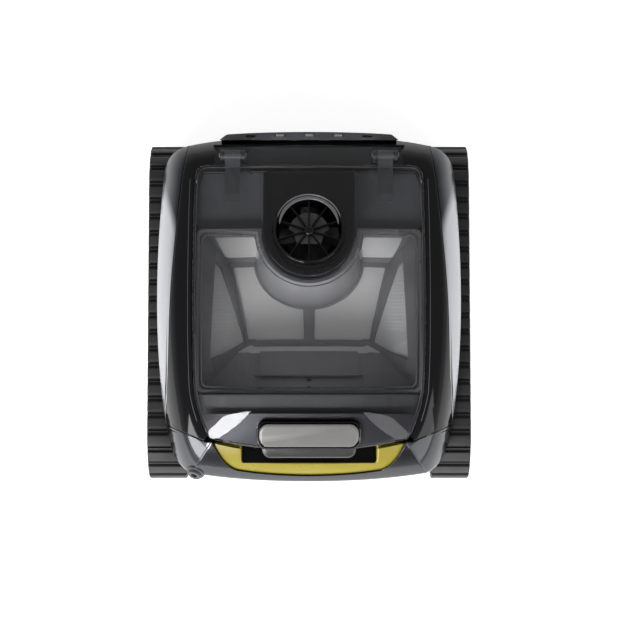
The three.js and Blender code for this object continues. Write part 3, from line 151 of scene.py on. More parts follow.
def makeFloor():
    half = studio["floorHalf"]
    mesh = bpy.data.meshes.new("floor")
    mesh.from_pydata([(-half, -half, 0), (half, -half, 0), (half, half, 0), (-half, half, 0)], [], [(0, 1, 2, 3)])
    material, _, _ = startMaterial("paintedStudioFloor", {
        "Base Color": linear(studio["floorColour"]), "Roughness": 0.9, "Specular IOR Level": 0.1,
        "Emission Color": (1, 1, 1, 1), "Emission Strength": studio["floorGlow"]})
    mesh.materials.append(material)
    placed("floor", mesh)


bpy.context.scene.view_settings.view_transform = "Standard"
makeCamera()
makeLights()
makeFloor()
print("studio made")

# Injection-moulded ABS and its like: even colour with a slight cloud in it, and a moulded grain.
plastics = {                # colour, cloud, roughness, grain in mm, bump
    "polishedBlackAbs": ("09090b", "0d0d10", 0.08, 3.0, 0.0),       # deep black with clear reflections
    "texturedBlackAbs": ("1d1e20", "242527", 0.5, 1.1, 0.06),       # dull black, soft highlights
    "texturedDarkAbs": ("3b3c3f", "434447", 0.5, 1.1, 0.06),
    "satinMidAbs": ("8a8b8c", "929393", 0.38, 0.9, 0.1),
    "satinLightAbs": ("656462", "6a6967", 0.3, 0.9, 0.06),          # the latch: a broad even sheen
    "satinTrayAbs": ("232224", "272628", 0.3, 0.9, 0.06),
    # the basket's darkening near its rim is painted shade
    "smokeGreyAbs": ("828284", "88888a", 0.35, 1.0, 0.05),          # the basket: grey, darker near its rim
    # the guard's ribs: a lighter grey that paints the ring's highlight
    "guardHighlightGreyAbs": ("646466", "69696b", 0.3, 1.0, 0.05),
    "rimGreyAbs": ("4b4b4d", "515153", 0.3, 1.0, 0.05),
    "yellowAbs": ("8c7f28", "93872e", 0.27, 1.2, 0.05),             # mustard yellow, half gloss
    "trackRubber": ("202021", "282828", 0.62, 1.1, 0.35),           # dry grey-black with a rough skin
    "brushPvc": ("b3a23e", "a89838", 0.5, 1.0, 0.15),
}
indices = {"polishedBlackAbs": 1.36}        # where the IOR isn't that of ABS
# painted shade: the colour the basket is darkened to at its rim
paintedShadeColour = {"smokeGreyAbs": "3c3c3e"}         # the colour where the basket is darkest

# Lacquer with metal flake over ABS under a clear coat: soft flake sparkle, sharp reflection on top.
lacquers = {                # colour, flake, metallic, roughness, coat
    "silverLacquer": ("909195", "a7a8ac", 0.9, 0.3, 0.3),           # bright satin silver
    "gunmetalLacquer": ("212226", "2d2e33", 0.85, 0.24, 0.7),       # dark steel with a wet coat
    "smokedLacquer": ("353539", "3f3f44", 0.9, 0.3, 0.3),           # the dark band behind the latch
}
# painted shade on the silver's rear corners, in place of a dark reflection
paintedRearShade = {"silverLacquer": {"colour": "1a1c22", "fade": (-404, -366), "slant": -3.0}}    # its rear corners
texture = {"cloud": 35.0, "lacquerCloud": 50.0, "flake": 0.5, "toolRing": 0.8, "thread": 0.9}    # sizes in mm
paintedShade = {"centre": (0, -12, 95), "near": 60, "far": 175}      # painted shade: where the basket starts to darken, and where it is darkest


# Painted shade: the basket's plastic and cloth are lightest in the middle of its floor and darken towards its rim,
# where less light falls.
def darkened(tree, where, colour, edge):
    centre = tuple(v * mm for v in paintedShade["centre"])
    away = addNode(tree, "VectorMath", {0: where, 1: centre}, operation="DISTANCE")
    amount = addNode(tree, "MapRange", {"Value": away.outputs["Value"], "From Min": paintedShade["near"] * mm,
                     "From Max": paintedShade["far"] * mm}, interpolation_type="SMOOTHSTEP")
    return addNode(tree, "Mix", {"Factor": amount.outputs["Result"], "A": colour, "B": edge},
                   data_type="RGBA").outputs["Result"]


# A roughness that follows a cloud, by a share up and down.
def unevenRoughness(tree, shader, cloud, roughness, share):
    rough = addNode(tree, "MapRange", {"Value": cloud.outputs["Fac"], "From Min": 0.3, "From Max": 0.7,
                    "To Min": roughness * (1 - share), "To Max": roughness * (1 + share)})
    tree.links.new(rough.outputs["Result"], shader.inputs["Roughness"])


def makePlastic(name, spec):
    colour, cloudy, roughness, size, depth = spec
    material, tree, shader = startMaterial(name, {"IOR": indices.get(name, 1.53)})
    where = addNode(tree, "TexCoord").outputs["Object"]
    cloud = addNode(tree, "TexNoise", {"Vector": where, "Scale": 1 / (texture["cloud"] * mm), "Detail": 3})
    result = addNode(tree, "Mix", {"Factor": cloud.outputs["Fac"], "A": linear(colour), "B": linear(cloudy)},
                     data_type="RGBA").outputs["Result"]
    # painted shade, darker towards the basket's rim
    if name in paintedShadeColour:
        result = darkened(tree, where, result, linear(paintedShadeColour[name]))
    grain = addNode(tree, "TexNoise", {"Vector": where, "Scale": 1 / (size * mm), "Detail": 2})
    unevenRoughness(tree, shader, cloud, roughness, 0.12)
    bump = addNode(tree, "Bump", {"Height": grain.outputs["Fac"], "Strength": depth, "Distance": 0.12 * mm})
    tree.links.new(result, shader.inputs["Base Color"])
    tree.links.new(bump.outputs["Normal"], shader.inputs["Normal"])
    return material


def makeLacquer(name, spec):
    colour, flaky, metallic, roughness, coat = spec
    material, tree, shader = startMaterial(name, {"Metallic": metallic, "Coat Weight": coat, "Coat Roughness": 0.04})
    where = addNode(tree, "TexCoord").outputs["Object"]
    flake = addNode(tree, "TexVoronoi", {"Vector": where, "Scale": 1 / (texture["flake"] * mm)})
    result = addNode(tree, "Mix", {"Factor": flake.outputs["Distance"], "A": linear(colour),
                     "B": linear(flaky)}, data_type="RGBA").outputs["Result"]
    cloud = addNode(tree, "TexNoise", {"Vector": where, "Scale": 1 / (texture["lacquerCloud"] * mm), "Detail": 2})
    unevenRoughness(tree, shader, cloud, roughness, 0.1)
    if name in paintedRearShade:        # painted shade: the silver darkens behind a slanting soft line, in place of a dark reflection
        dark = paintedRearShade[name]
        parts = addNode(tree, "SeparateXYZ", {"Vector": where})
        outward = addNode(tree, "Math", {0: parts.outputs["X"]}, operation="ABSOLUTE")
        slant = addNode(tree, "Math", {0: outward.outputs["Value"], 1: dark["slant"], 2: parts.outputs["Y"]},
                        operation="MULTIPLY_ADD")
        amount = addNode(tree, "MapRange", {"Value": slant.outputs["Value"], "From Min": dark["fade"][0] * mm,
                         "From Max": dark["fade"][1] * mm}, interpolation_type="SMOOTHSTEP")
        result = addNode(tree, "Mix", {"Factor": amount.outputs["Result"], "A": result,
                         "B": linear(dark["colour"])}, data_type="RGBA").outputs["Result"]
    tree.links.new(result, shader.inputs["Base Color"])
    return material


# Smoked polycarbonate, polished: clear with a grey tint, and glossy like a thin window.
def makeSmoked():
    return startMaterial("smokedPolycarbonate", {"Base Color": linear("e4e4e6"), "Transmission Weight": 1,
                         "IOR": 1.3, "Roughness": 0.02})[0]


# Turned stainless steel: fine rings left by the tool, a bright grey that flickers with them.
def makeSteel():
    material, tree, shader = startMaterial("turnedStainlessSteel", {"Metallic": 1})
    where = addNode(tree, "TexCoord").outputs["Object"]
    rings = addNode(tree, "TexNoise", {"Vector": where, "Scale": 1 / (texture["toolRing"] * mm), "Detail": 2})
    rough = addNode(tree, "MapRange", {"Value": rings.outputs["Fac"], "To Min": 0.22, "To Max": 0.38})
    colour = addNode(tree, "Mix", {"Factor": rings.outputs["Fac"], "A": linear("b0b2b5"),
                     "B": linear("c6c8ca")}, data_type="RGBA")
    tree.links.new(colour.outputs["Result"], shader.inputs["Base Color"])
    tree.links.new(rough.outputs["Result"], shader.inputs["Roughness"])
    return material


# Woven polyester cloth: two thread directions of 0.9 mm, coarser than the real 0.15 mm so that they show.
def makeFilterCloth():
    material, tree, shader = startMaterial("wovenPolyesterMesh", {"Roughness": 0.85})
    where = addNode(tree, "TexCoord").outputs["Object"]
    wave = {"Vector": where, "Scale": math.pi / 20 / (texture["thread"] * mm)}      # a band is pi / 20 at scale 1
    threads = [addNode(tree, "TexWave", wave, wave_type="BANDS", bands_direction=axis).outputs["Fac"]
               for axis in ("X", "Y")]
    weave = addNode(tree, "Math", {0: threads[0], 1: threads[1]}, operation="MULTIPLY").outputs["Value"]
    colour = addNode(tree, "Mix", {"Factor": weave, "A": linear("d2d2d0"), "B": linear("e2e2e0")},
                     data_type="RGBA").outputs["Result"]
    bump = addNode(tree, "Bump", {"Height": weave, "Strength": 0.4, "Distance": 0.2 * mm})
    # painted shade, darker towards the basket's rim
    tree.links.new(darkened(tree, where, colour, linear("707070")), shader.inputs["Base Color"])
    tree.links.new(bump.outputs["Normal"], shader.inputs["Normal"])
    return material


finishes = {name: makePlastic(name, spec) for name, spec in plastics.items()}
finishes.update({name: makeLacquer(name, spec) for name, spec in lacquers.items()})
finishes["smokedPolycarbonate"] = makeSmoked()
finishes["turnedStainlessSteel"] = makeSteel()
finishes["wovenPolyesterMesh"] = makeFilterCloth()

slotFinishes = {
    "gloss_black": "polishedBlackAbs", "matt_black": "texturedBlackAbs", "dark_grey": "texturedDarkAbs",
    "mid_grey": "satinMidAbs", "light_grey": "satinLightAbs", "silver_paint": "silverLacquer",
    "gunmetal_paint": "gunmetalLacquer", "yellow_plastic": "yellowAbs", "track_rubber": "trackRubber",
    "smoked_window": "smokedPolycarbonate", "filter_cloth": "wovenPolyesterMesh",
    "steel": "turnedStainlessSteel", "yellow_brush": "brushPvc",
}
for entry in frame["record"]["subparts"]:
    mesh = nodes[entry["node"]].data
    mesh.materials.clear()
    mesh.materials.append(finishes[slotFinishes[entry["material_slot"]]])
print("finishes made")


# A piece from points in mm: doubles merged, faces outwards, its finish on it, and what it rides on and replaces.
def addPiece(name, points, faces, slot, body, replaced, finish, isSheet=False):
    mesh = bpy.data.meshes.new(name)
    mesh.from_pydata((points * mm).tolist(), [], faces)
    work = bmesh.new()
    work.from_mesh(mesh)
    bmesh.ops.remove_doubles(work, verts=work.verts, dist=1e-6)
    if not isSheet:
        bmesh.ops.dissolve_degenerate(work, edges=work.edges, dist=1e-6)
    bmesh.ops.recalc_face_normals(work, faces=work.faces)
    if isSheet and sum(f.normal.z for f in work.faces) < 0:
        bmesh.ops.reverse_faces(work, faces=work.faces)
    work.to_mesh(mesh)
    work.free()
    mesh.materials.append(finishes[finish or slotFinishes[slot]])
    piece = placed(name, mesh)
    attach(piece, body)
    if replaced:
        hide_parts(*replaced)
    return piece


# A closed mesh over rows of points: each row is a closed loop, and rows join in a ring or end in caps.
def gridPiece(name, grids, slot, body, replaced=(), finish=None, ring=False):
    verts, faces, offset = [], [], 0
    for points in grids:
        rows, columns = points.shape[:2]
        index = np.arange(rows * columns).reshape(rows, columns) + offset
        lower, upper = (index, np.roll(index, -1, 0)) if ring else (index[:-1], index[1:])
        faces += np.stack([lower, np.roll(lower, -1, 1), np.roll(upper, -1, 1), upper], -1).reshape(-1, 4).tolist()
        if not ring:
            faces += [index[0][::-1].tolist(), index[-1].tolist()]
        verts.append(points.reshape(-1, 3))
        offset += rows * columns
    piece = addPiece(name, np.concatenate(verts), faces, slot, body, replaced, finish)
    piece.data.polygons.foreach_set("use_smooth", np.ones(len(piece.data.polygons), bool))
    piece.data.set_sharp_from_angle(angle=math.radians(35))
    return piece


# The x and y of what lies at a distance from a centre, at an angle.
def around(centre, away, angle):
    return centre[0] + away * np.cos(angle), centre[1] + away * np.sin(angle)


# Points of a chain of Bezier curves, each given by its control points after the last one's end.
def bezierChain(start, curves, each=60):
    points = [np.array([start], float)]
    t = np.linspace(0, 1, each + 1)[1:, None]
    for controls in curves:
        p = [points[-1][-1]] + [np.array(c, float) for c in controls]
        degree = len(p) - 1
        weights = [math.comb(degree, k) * (1 - t) ** (degree - k) * t ** k for k in range(degree + 1)]
        points.append(sum(w * q for w, q in zip(weights, p)))
    return np.concatenate(points)


# A right half outline and its mirror image as one closed loop.
def mirrorLoop(right):
    return np.concatenate([right, right[1:-1][::-1] * [-1, 1]])


# A uniform Catmull-Rom curve through points: each stretch is a cubic set by its two neighbours.
def splineThrough(points, each=24):
    p = np.array([points[0], *points, points[-1]], float)
    t = np.linspace(0, 1, each + 1)[:, None]
    return np.concatenate([
        0.5 * (2 * b + (c - a) * t + (2 * a - 5 * b + 4 * c - d) * t ** 2 + (3 * b - a - 3 * c + d) * t ** 3)
        for a, b, c, d in zip(p[:-3], p[1:-2], p[2:-1], p[3:])])


# An outline seen from a point: its distance at any angle, by straight lines between its points.
def distanceAt(points, centre=(0, 0)):
    away = np.asarray(points, float) - np.array(centre)
    angle = np.unwrap(np.arctan2(away[:, 1], away[:, 0]))
    angles = np.concatenate([angle - 2 * math.pi, angle, angle + 2 * math.pi])
    radii = np.tile(np.hypot(away[:, 0], away[:, 1]), 3)
    order = np.argsort(angles, kind="stable")
    return lambda a: np.interp(a, angles[order], radii[order])


# The closed outline moved outwards by a distance along its own normals.
def grown(points, distance):
    along = np.roll(points, -1, 0) - np.roll(points, 1, 0)
    along /= np.maximum(np.hypot(along[:, 0], along[:, 1]), 1e-9)[:, None]
    area = np.sum(points[:, 0] * np.roll(points[:, 1], -1) - points[:, 1] * np.roll(points[:, 0], -1))
    side = np.stack([along[:, 1], -along[:, 0]], -1) * (1 if area > 0 else -1)
    return points + side * distance


# The same loop at several heights, as the rows of a plate.
def levels(loop, heights):
    loop = np.asarray(loop, float)
    return np.stack([np.column_stack([loop, np.full(len(loop), z)]) for z in heights])


# The rings of a turned piece: a profile of radius and height carried round an upright axis.
def turnedRings(profile, count, centre=(0, 0)):
    profile = np.array(profile, float)
    turn = np.linspace(0, 2 * math.pi, count + 1)[:-1, None]
    x, y = around(centre, profile[:, 0], turn)
    return np.stack([x, y, np.broadcast_to(profile[:, 1], x.shape)], -1)


hull = {
    "ridge": 197.0, "rearDrop": 26.0, "frontDrop": 40.0, "halfLength": 209.0,
    "endShoulder": 24.0, "sideShoulder": 50.0, "bottom": 119.0,
    "outline": ((0, 206.5), [[(95, 206.5), (144, 195)], [(163, 190.5), (176, 180), (176, 160)],
                [(184, 70), (186, -60), (171, -142)], [(167, -170), (160, -190), (140, -199)],
                [(80, -209), (0, -209)]]),
    "sideLine": [(143, 210), (153, 135), (163, 20), (167, -80), (173, -146)],
    "sideRear": (144.4, 195.0),
    "fasciaCorner": (172, -142), "fasciaKnee": (122, -163),
    "recess": ((0, -150), [[(114, -150)], [(115, -162)], [(104, -190), (86, -196)], [(50, -202), (0, -202.5)]]),
    "recessCorner": (115, -162), "recessFloor": 122.0,
    "trough": (113, 190.6), "troughFloor": 163,     # half width, rear end and floor of the trough for the hinges
    "deckSeam": 0.25, "seam": 0.3,                  # what the deck and its neighbours leave free between them
    "lap": 7, "wellLap": 14, "fasciaLap": 9,        # how far the walls at those seams go down
}
chin = {"from": -150, "half": 140.5, "top": 118.8, "bottom": 60.0, "back": -184.3, "tuck": 16, "curl": 26}
lid = {
    "halfWidth": 138.0, "rear": 166.0, "front": -174.0, "crown": 24.0, "wall": 3.0, "skirt": 12.0,
    "outline": ((0, 166), [[(118, 166)], [(136, 166), (136, 148)], [(138, 60), (138, -60), (135, -105)],
                [(130, -135), (117, -160)], [(60, -174), (0, -174)]]),
    "hingeNotch": (91, 10.5, 3.2),                  # its middle, half width and the skirt left there
    "bead": (-3.6, -3.7, 0.4), "deckBead": (5.5, -0.15, 0.45),      # way out from the lid's outline, rise, radius
    "deckBeadSpan": (-140, 150),
    "tail": [(-112, 163.5), (112, 163.5), (112, 180), (104, 187.5), (-104, 187.5), (-112, 180)], "tailRise": 3.6,
    "maskRear": -131.0, "maskCreases": (-138, -144, -150, -156), "holeGap": 0.6, "holeSkirt": 3.2,
}
lidMiddle = (0, (lid["rear"] + lid["front"]) / 2)
pump = {"centre": (0.0, 83.0), "guardRadius": 42.0, "tilt": math.radians(-12), "spokes": 10,
        "ribTaper": 0.16, "ribBack": 5.0, "hub": 5.0, "spokeArch": 1.1,
        "ribs": {"guardHighlightRibOuter": (37.6, 39.0, 3.6), "guardHighlightRibInner": (32.6, 36.4, 3.4)},       # two radii and a top
        "cap": 23.5, "capFoot": [(-18, 0), (-18, -3), (-14, -15), (14, -15), (18, -3), (18, 0)]}

hullLoop, lidLoop, recessLoop = [mirrorLoop(bezierChain(*part)) for part in
                                 (hull["outline"], lid["outline"], hull["recess"])]
hullReach = distanceAt(hullLoop)
hullTurn = np.abs(np.gradient(hullLoop[:, 1])) / np.maximum(np.hypot(*np.gradient(hullLoop, axis=0).T), 1e-9)


# How far the outline runs along the machine at an angle: 1 on its sides, 0 at its ends.
def sidewaysAt(angle):
    own = np.arctan2(hullLoop[:, 1], hullLoop[:, 0])
    order = np.argsort(own)
    return np.interp(angle, own[order], hullTurn[order], period=2 * math.pi)


# Deck: the ridge less a drop that grows with the square of the way to each end.
def deckHeight(y):
    drop = np.where(y > 0, hull["rearDrop"], hull["frontDrop"])
    return hull["ridge"] - drop * (y / hull["halfLength"]) ** 2


# Hull skin: the deck less a shoulder that grows with the twelfth power of the way out to the outline.
def hullHeight(x, y):
    angle = np.arctan2(y, x)
    share = np.hypot(x, y) / hullReach(angle)
    shoulder = hull["endShoulder"] + (hull["sideShoulder"] - hull["endShoulder"]) * sidewaysAt(angle) ** 2
    return deckHeight(y) - shoulder * share ** 12


def hullAt(away, angles):       # the hull skin at a distance from the middle
    return hullHeight(*around((0, 0), away, angles))


# Lid skin: the deck plus a crown that falls with the cube of the way to the sides and to the ends.
def lidHeight(x, y):
    across = np.minimum(1, np.abs(x) / lid["halfWidth"])
    along = np.minimum(1, np.abs(y - lidMiddle[1]) / (lid["rear"] - lidMiddle[1]))
    return deckHeight(y) + 1 + lid["crown"] * (1 - across ** 3) * (1 - along ** 3)


# Quarter-round edge: how far a surface is below its flat at a distance from its edge.
def roundedEdge(distance, radius):
    within = np.clip(radius - distance, 0, radius)
    return radius - np.sqrt(np.maximum(radius ** 2 - within ** 2, 0))


# A moulded skin over the ring between two distances from a centre, with rounded edges and walls down
# from both of them; each row is the loop of its cross-section at one angle.
def skinRing(angles, centre, inner, outer, height, innerFoot, outerFoot, edges=(0.8, 0.8), wall=3.0, columns=26):
    inner, outer, innerFoot, outerFoot = [np.broadcast_to(v, angles.shape)[:, None]
                                          for v in (inner, outer, innerFoot, outerFoot)]
    width = np.maximum(outer - inner, 0.4)
    innerEdge, outerEdge, thick = [np.minimum(v, width / 3) for v in (*edges, wall)]
    steps = np.array([0, 0.08, 0.25, 0.5, 0.75, 1.0])
    nearInner, nearOuter = steps * innerEdge, width - steps[::-1] * outerEdge
    spread = 1 - (1 - np.linspace(0, 1, columns)[1:-1]) ** 1.5
    between = nearInner[:, -1:] + (nearOuter[:, :1] - nearInner[:, -1:]) * spread
    away = np.concatenate([nearInner, between, nearOuter], 1)
    top = height(*around(centre, inner + away, angles[:, None]))
    top = top - roundedEdge(away, innerEdge) - roundedEdge(width - away, outerEdge)
    rim = inner + width
    radii = np.concatenate([inner + away, rim, rim - thick, rim - thick, inner + thick, inner + thick, inner], 1)
    heights = np.concatenate([top, outerFoot, outerFoot, np.maximum(outerFoot, top[:, -1:] - wall),
                              np.maximum(innerFoot, top[:, :1] - wall), innerFoot, innerFoot], 1)
    return np.stack([*around(centre, radii, angles[:, None]), heights], -1)


# Angles between two limits, with a pair added close on each side of every corner.
def anglesBetween(start, end, count, corners=()):
    extra = [c + s for c in corners for s in (-2e-4, 2e-4)]
    return np.unique(np.concatenate([np.linspace(start, end, count), [e for e in extra if start < e < end]]))


def angleOf(point, centre=(0, 0)):
    return math.atan2(point[1] - centre[1], point[0] - centre[0])


sideReach = distanceAt(splineThrough(hull["sideLine"]))
recessFront = bezierChain(hull["recessCorner"], hull["recess"][1][2:])
recessReach = distanceAt(np.concatenate([recessFront, recessFront[:-1][::-1] * [-1, 1]]))
lidGapReach = distanceAt(grown(lidLoop, 1.0))
cornerAngle, kneeAngle, rearAngle = [angleOf(hull[k]) for k in ("fasciaCorner", "fasciaKnee", "sideRear")]


# Mirrors an angle on to the right-hand side, from -90 degrees at the front to 90 at the rear.
def rightSide(angle):
    return np.arcsin(np.sin(angle))


# The V-shaped line between deck and fascia: straight from the corner to the knee, then level.
def fasciaReach(angle):
    right = rightSide(angle)
    (cx, cy), (kx, ky) = hull["fasciaCorner"], hull["fasciaKnee"]
    slope = (cy - ky) / (cx - kx)
    sloped = (ky - slope * kx) / (np.sin(right) - slope * np.cos(right))
    level = ky / np.minimum(np.sin(right), -1e-6)
    return np.where(right > kneeAngle, sloped, level)


# Deck, side covers and fascia
def makeDeck():
    troughAngle = angleOf(hull["trough"])
    angles = anglesBetween(kneeAngle + 0.012, math.pi - kneeAngle - 0.012, 900,
                           [troughAngle, math.pi - troughAngle, cornerAngle, math.pi - cornerAngle])
    right = rightSide(angles)
    inTrough = right > troughAngle
    inner = np.where(inTrough, hull["trough"][1] / np.sin(np.maximum(right, 0.3)), lidGapReach(right))
    outer = np.where(right > rearAngle, hullReach(right), sideReach(right))
    outer = np.where(right < cornerAngle, fasciaReach(right), outer)
    outerFoot = np.where(right > rearAngle, hull["bottom"], hullAt(outer, angles) - hull["lap"])
    innerFoot = np.where(inTrough, hull["troughFloor"], hullAt(inner, angles) - hull["wellLap"])
    points = skinRing(angles, (0, 0), inner, outer - hull["deckSeam"], hullHeight, innerFoot, outerFoot)
    gridPiece("deckShell", [points], "gloss_black", "root", ["deck_shell"])


def makeSideCovers():
    for side in ("right", "left"):
        angles = anglesBetween(cornerAngle + 0.004, rearAngle, 420)
        outer = hullReach(angles)
        inner = np.minimum(sideReach(angles) + hull["seam"], outer - 0.6)
        points = skinRing(angles, (0, 0), inner, outer, hullHeight, hullAt(inner, angles) - hull["lap"],
                          hull["bottom"], (0.7, 0.7), columns=34)
        if side == "left":
            points = points * [-1, 1, 1]
        gridPiece("sideCover." + side, [points], "silver_paint", "root", ["side_cover_" + side])


def makeFascia():
    recessAngle = angleOf(hull["recessCorner"])
    angles = anglesBetween(-math.pi - cornerAngle + 0.003, cornerAngle - 0.003, 700,
                           [recessAngle, -math.pi - recessAngle, kneeAngle, -math.pi - kneeAngle])
    right = rightSide(angles)
    inRecess = right < recessAngle
    inner = np.where(inRecess, recessReach(right), fasciaReach(right) + hull["seam"])
    innerFoot = np.where(inRecess, hull["recessFloor"], hullAt(inner, angles) - hull["fasciaLap"])
    points = skinRing(angles, (0, 0), inner, hullReach(right), hullHeight, innerFoot, hull["bottom"], (0.9, 1.5),
                      columns=34)
    gridPiece("fasciaSkin", [points], "gunmetal_paint", "root", ["front_fascia"])


# The chin under the fascia: the hull's nose outline carried down, rounded in at its lower edge.
def makeChin():
    top, bottom, back = chin["top"], chin["bottom"], chin["back"]
    nose = hullLoop[hullLoop[:, 1] < chin["from"]]
    order = np.argsort(nose[:, 0])
    x = np.linspace(-chin["half"], chin["half"], 220)
    front = np.interp(x, nose[order, 0], nose[order, 1])[:, None] + 0.5
    share = np.linspace(0, 1, 14)
    tuck = chin["tuck"] * (1 - np.sqrt(1 - share ** 2))
    y = np.minimum(np.concatenate([front, front + tuck, np.full((x.size, 2), back)], 1), back)
    z = np.concatenate([[top], bottom + chin["curl"] * (1 - share), [bottom, top]])
    points = np.stack([np.broadcast_to(x[:, None], y.shape), y, np.broadcast_to(z, y.shape)], -1)
    gridPiece("fasciaChin", [points], "gunmetal_paint", "root", ["front_fascia"])


# A flat plate over an outline.
def plateFrom(name, outline, top, thickness, slot, body, replaced=(), finish=None):
    gridPiece(name, [levels(outline, (top - thickness, top))], slot, body, replaced, finish)


makeDeck()
half, rear = hull["trough"][0] + 1, hull["trough"][1] + 1
plateFrom("hingeTrough", [(-half, 159), (half, 159), (half, rear), (-half, rear)], hull["troughFloor"], 3,
          "gloss_black", "root", finish="texturedBlackAbs")
plateFrom("recessFloor", grown(recessLoop, 2), hull["recessFloor"], 2.5, "gloss_black", "root",
          finish="texturedBlackAbs")
makeSideCovers()
makeFascia()
makeChin()
print("hull made")


# An axis-aligned rectangle with rounded corners, anticlockwise.
def roundedBox(fromX, toX, fromY, toY, radius, each=10):
    turn = np.linspace(0, math.pi / 2, each)
    corners = [(toX - radius, toY - radius, 0), (fromX + radius, toY - radius, 1),
               (fromX + radius, fromY + radius, 2), (toX - radius, fromY + radius, 3)]
    angles = [turn + quarter * math.pi / 2 for _, _, quarter in corners]
    return np.concatenate([np.column_stack(around(corner, radius, a)) for corner, a in zip(corners, angles)])


# The closed outline at the ways along it that wanted gives for the ways of its points.
def resampled(points, wanted):
    closed = np.vstack([points, points[:1]])
    way = np.concatenate([[0], np.cumsum(np.hypot(*np.diff(closed, axis=0).T))])
    return np.column_stack([np.interp(wanted(way)[:-1], way, closed[:, k]) for k in (0, 1)])


# Extra points along straight stretches, so that a surface over the outline can bend.
def refined(points, step=2.0):
    return resampled(points, lambda way: np.unique(np.concatenate([way, np.arange(0, way[-1], step)])))


# The same closed outline with another number of evenly spaced points.
def evenly(points, count):
    return resampled(points, lambda way: np.linspace(0, way[-1], count + 1))


# Seat under the lid, and the well's walls
well = {"box": (-133.5, 133.5, -107, 158), "corner": 6, "centre": (0, 25), "seatDepth": 15.2, "floor": 119.0,
        "recessEdge": -150.2}


def makeSeat():
    centre = well["centre"]
    wellReach = distanceAt(refined(roundedBox(*well["box"], well["corner"])), centre)
    lidReachHere = distanceAt(grown(lidLoop, 0.9), centre)
    recessCorner = angleOf(hull["recess"][1][0][0], centre)
    angles = anglesBetween(-math.pi, math.pi, 900, [recessCorner, -math.pi - recessCorner])[:-1]
    right = rightSide(angles)
    inRecess = right < recessCorner
    outer = np.where(inRecess, (well["recessEdge"] - centre[1]) / np.minimum(np.sin(angles), -0.3), lidReachHere(right))
    inner = wellReach(right)
    height = lambda x, y: lidHeight(x, y) - well["seatDepth"]
    outerHeight = height(*around(centre, outer, angles))
    outerFoot = np.where(inRecess, hull["recessFloor"], outerHeight - 4)
    points = skinRing(angles, centre, inner, outer, height, well["floor"], outerFoot, (1.2, 0.6))
    gridPiece("lidSeat", [points], "gloss_black", "root", ["deck_shell"], "texturedBlackAbs", ring=True)


makeSeat()


# Carrying handle
handle = {"gap": 0.4, "drop": 4.0, "centre": (0, -163.6), "pocket": (80, -187), "pocketCorner": 4, "edge": 3.2,
          "underLid": 18.5}


# Handle: the hull's skin sunk by the drop, and lower still where it runs under the lid's skirt.
def handleHeight(x, y):
    skin = hullHeight(x, y) - handle["drop"]
    along = y - lidMiddle[1]
    shareOut = np.hypot(x, along) / lidReachMiddle(np.arctan2(along, x))
    return np.where(shareOut < 1.02, np.minimum(skin, lidHeight(x, y) - handle["underLid"]), skin)


lidReachMiddle = distanceAt(lidLoop, lidMiddle)


def makeHandle():
    (halfPocket, front), centre, foot = handle["pocket"], handle["centre"], hull["recessFloor"] + 0.3
    outerReach = distanceAt(grown(recessLoop, -handle["gap"]), centre)
    pocket = refined(roundedBox(-halfPocket, halfPocket, front, -front + 2 * centre[1], handle["pocketCorner"]))
    innerReach = distanceAt(pocket, centre)
    angles = np.linspace(-math.pi + 0.002, -0.002, 560)
    points = skinRing(angles, centre, innerReach(angles), outerReach(angles), handleHeight,
                      foot, foot, (handle["edge"], handle["edge"]), wall=40)
    gridPiece("carryHandle", [points], "yellow_plastic", "root", ["carry_handle"])


makeHandle()
print("handle made")


# Lid
def makeLid():
    centre = pump["centre"]
    angles = np.linspace(-math.pi, math.pi, 721)[:-1]
    outer, hole = distanceAt(lidLoop, centre)(angles), pump["guardRadius"] + lid["holeGap"]
    x, y = around(centre, outer, angles)
    middle, half, left = lid["hingeNotch"]
    skirt = np.where((np.abs(np.abs(x) - middle) < half) & (y > 150), left, lid["skirt"])
    holeTop = lidHeight(*around(centre, hole, angles))
    points = skinRing(angles, centre, hole, outer, lidHeight, holeTop - lid["holeSkirt"], lidHeight(x, y) - skirt,
                      (0.5, 1.4), wall=lid["wall"], columns=60)
    piece = gridPiece("lidWindow", [points], "smoked_window", "lid", ["lid_window"], ring=True)
    piece.visible_shadow = False


# The rings of a thin round bead beside the lid's outline, at a rise from a skin.
def beadAlong(skin, spec):
    outwards, lift, radius = spec
    loop = refined(grown(lidLoop, outwards), 1.5)
    turn = np.linspace(0, 2 * math.pi, 9)[:-1]
    across = (grown(loop, 1) - loop)[:, None] * (radius * np.cos(turn))[:, None]
    height = skin(loop[:, 0], loop[:, 1])[:, None] + lift + radius * np.sin(turn)
    return np.concatenate([loop[:, None] + across, height[..., None]], -1)


# Thin grey beads under the lid's edge and on the deck beside it: their light lines are partly the edge's seam, partly a
# painted highlight.
def makeBeads():
    gridPiece("lidBead", [beadAlong(lidHeight, lid["bead"])], "mid_grey", "lid", ring=True, finish="rimGreyAbs")
    rings = beadAlong(hullHeight, lid["deckBead"])
    x, y, _ = rings.mean(axis=1).T
    front, rear = lid["deckBeadSpan"]
    right = rings[(x > 100) & (y > front) & (y < rear)]
    right = right[np.argsort(right.mean(axis=1)[:, 1])]
    gridPiece("deckBeads", [right, right * [-1, 1, 1]], "dark_grey", "root", finish="rimGreyAbs")


# The lid's tail: a smoked plate over the hinges.
def makeLidTail():
    sheetPiece("lidTail", [softened(lid["tail"], 5)], [], lambda x, y: deckHeight(y) + lid["tailRise"] + 0 * x, 2.4,
               "smoked_window", "lid", ["lid_window"], bevel=0.5).visible_shadow = False


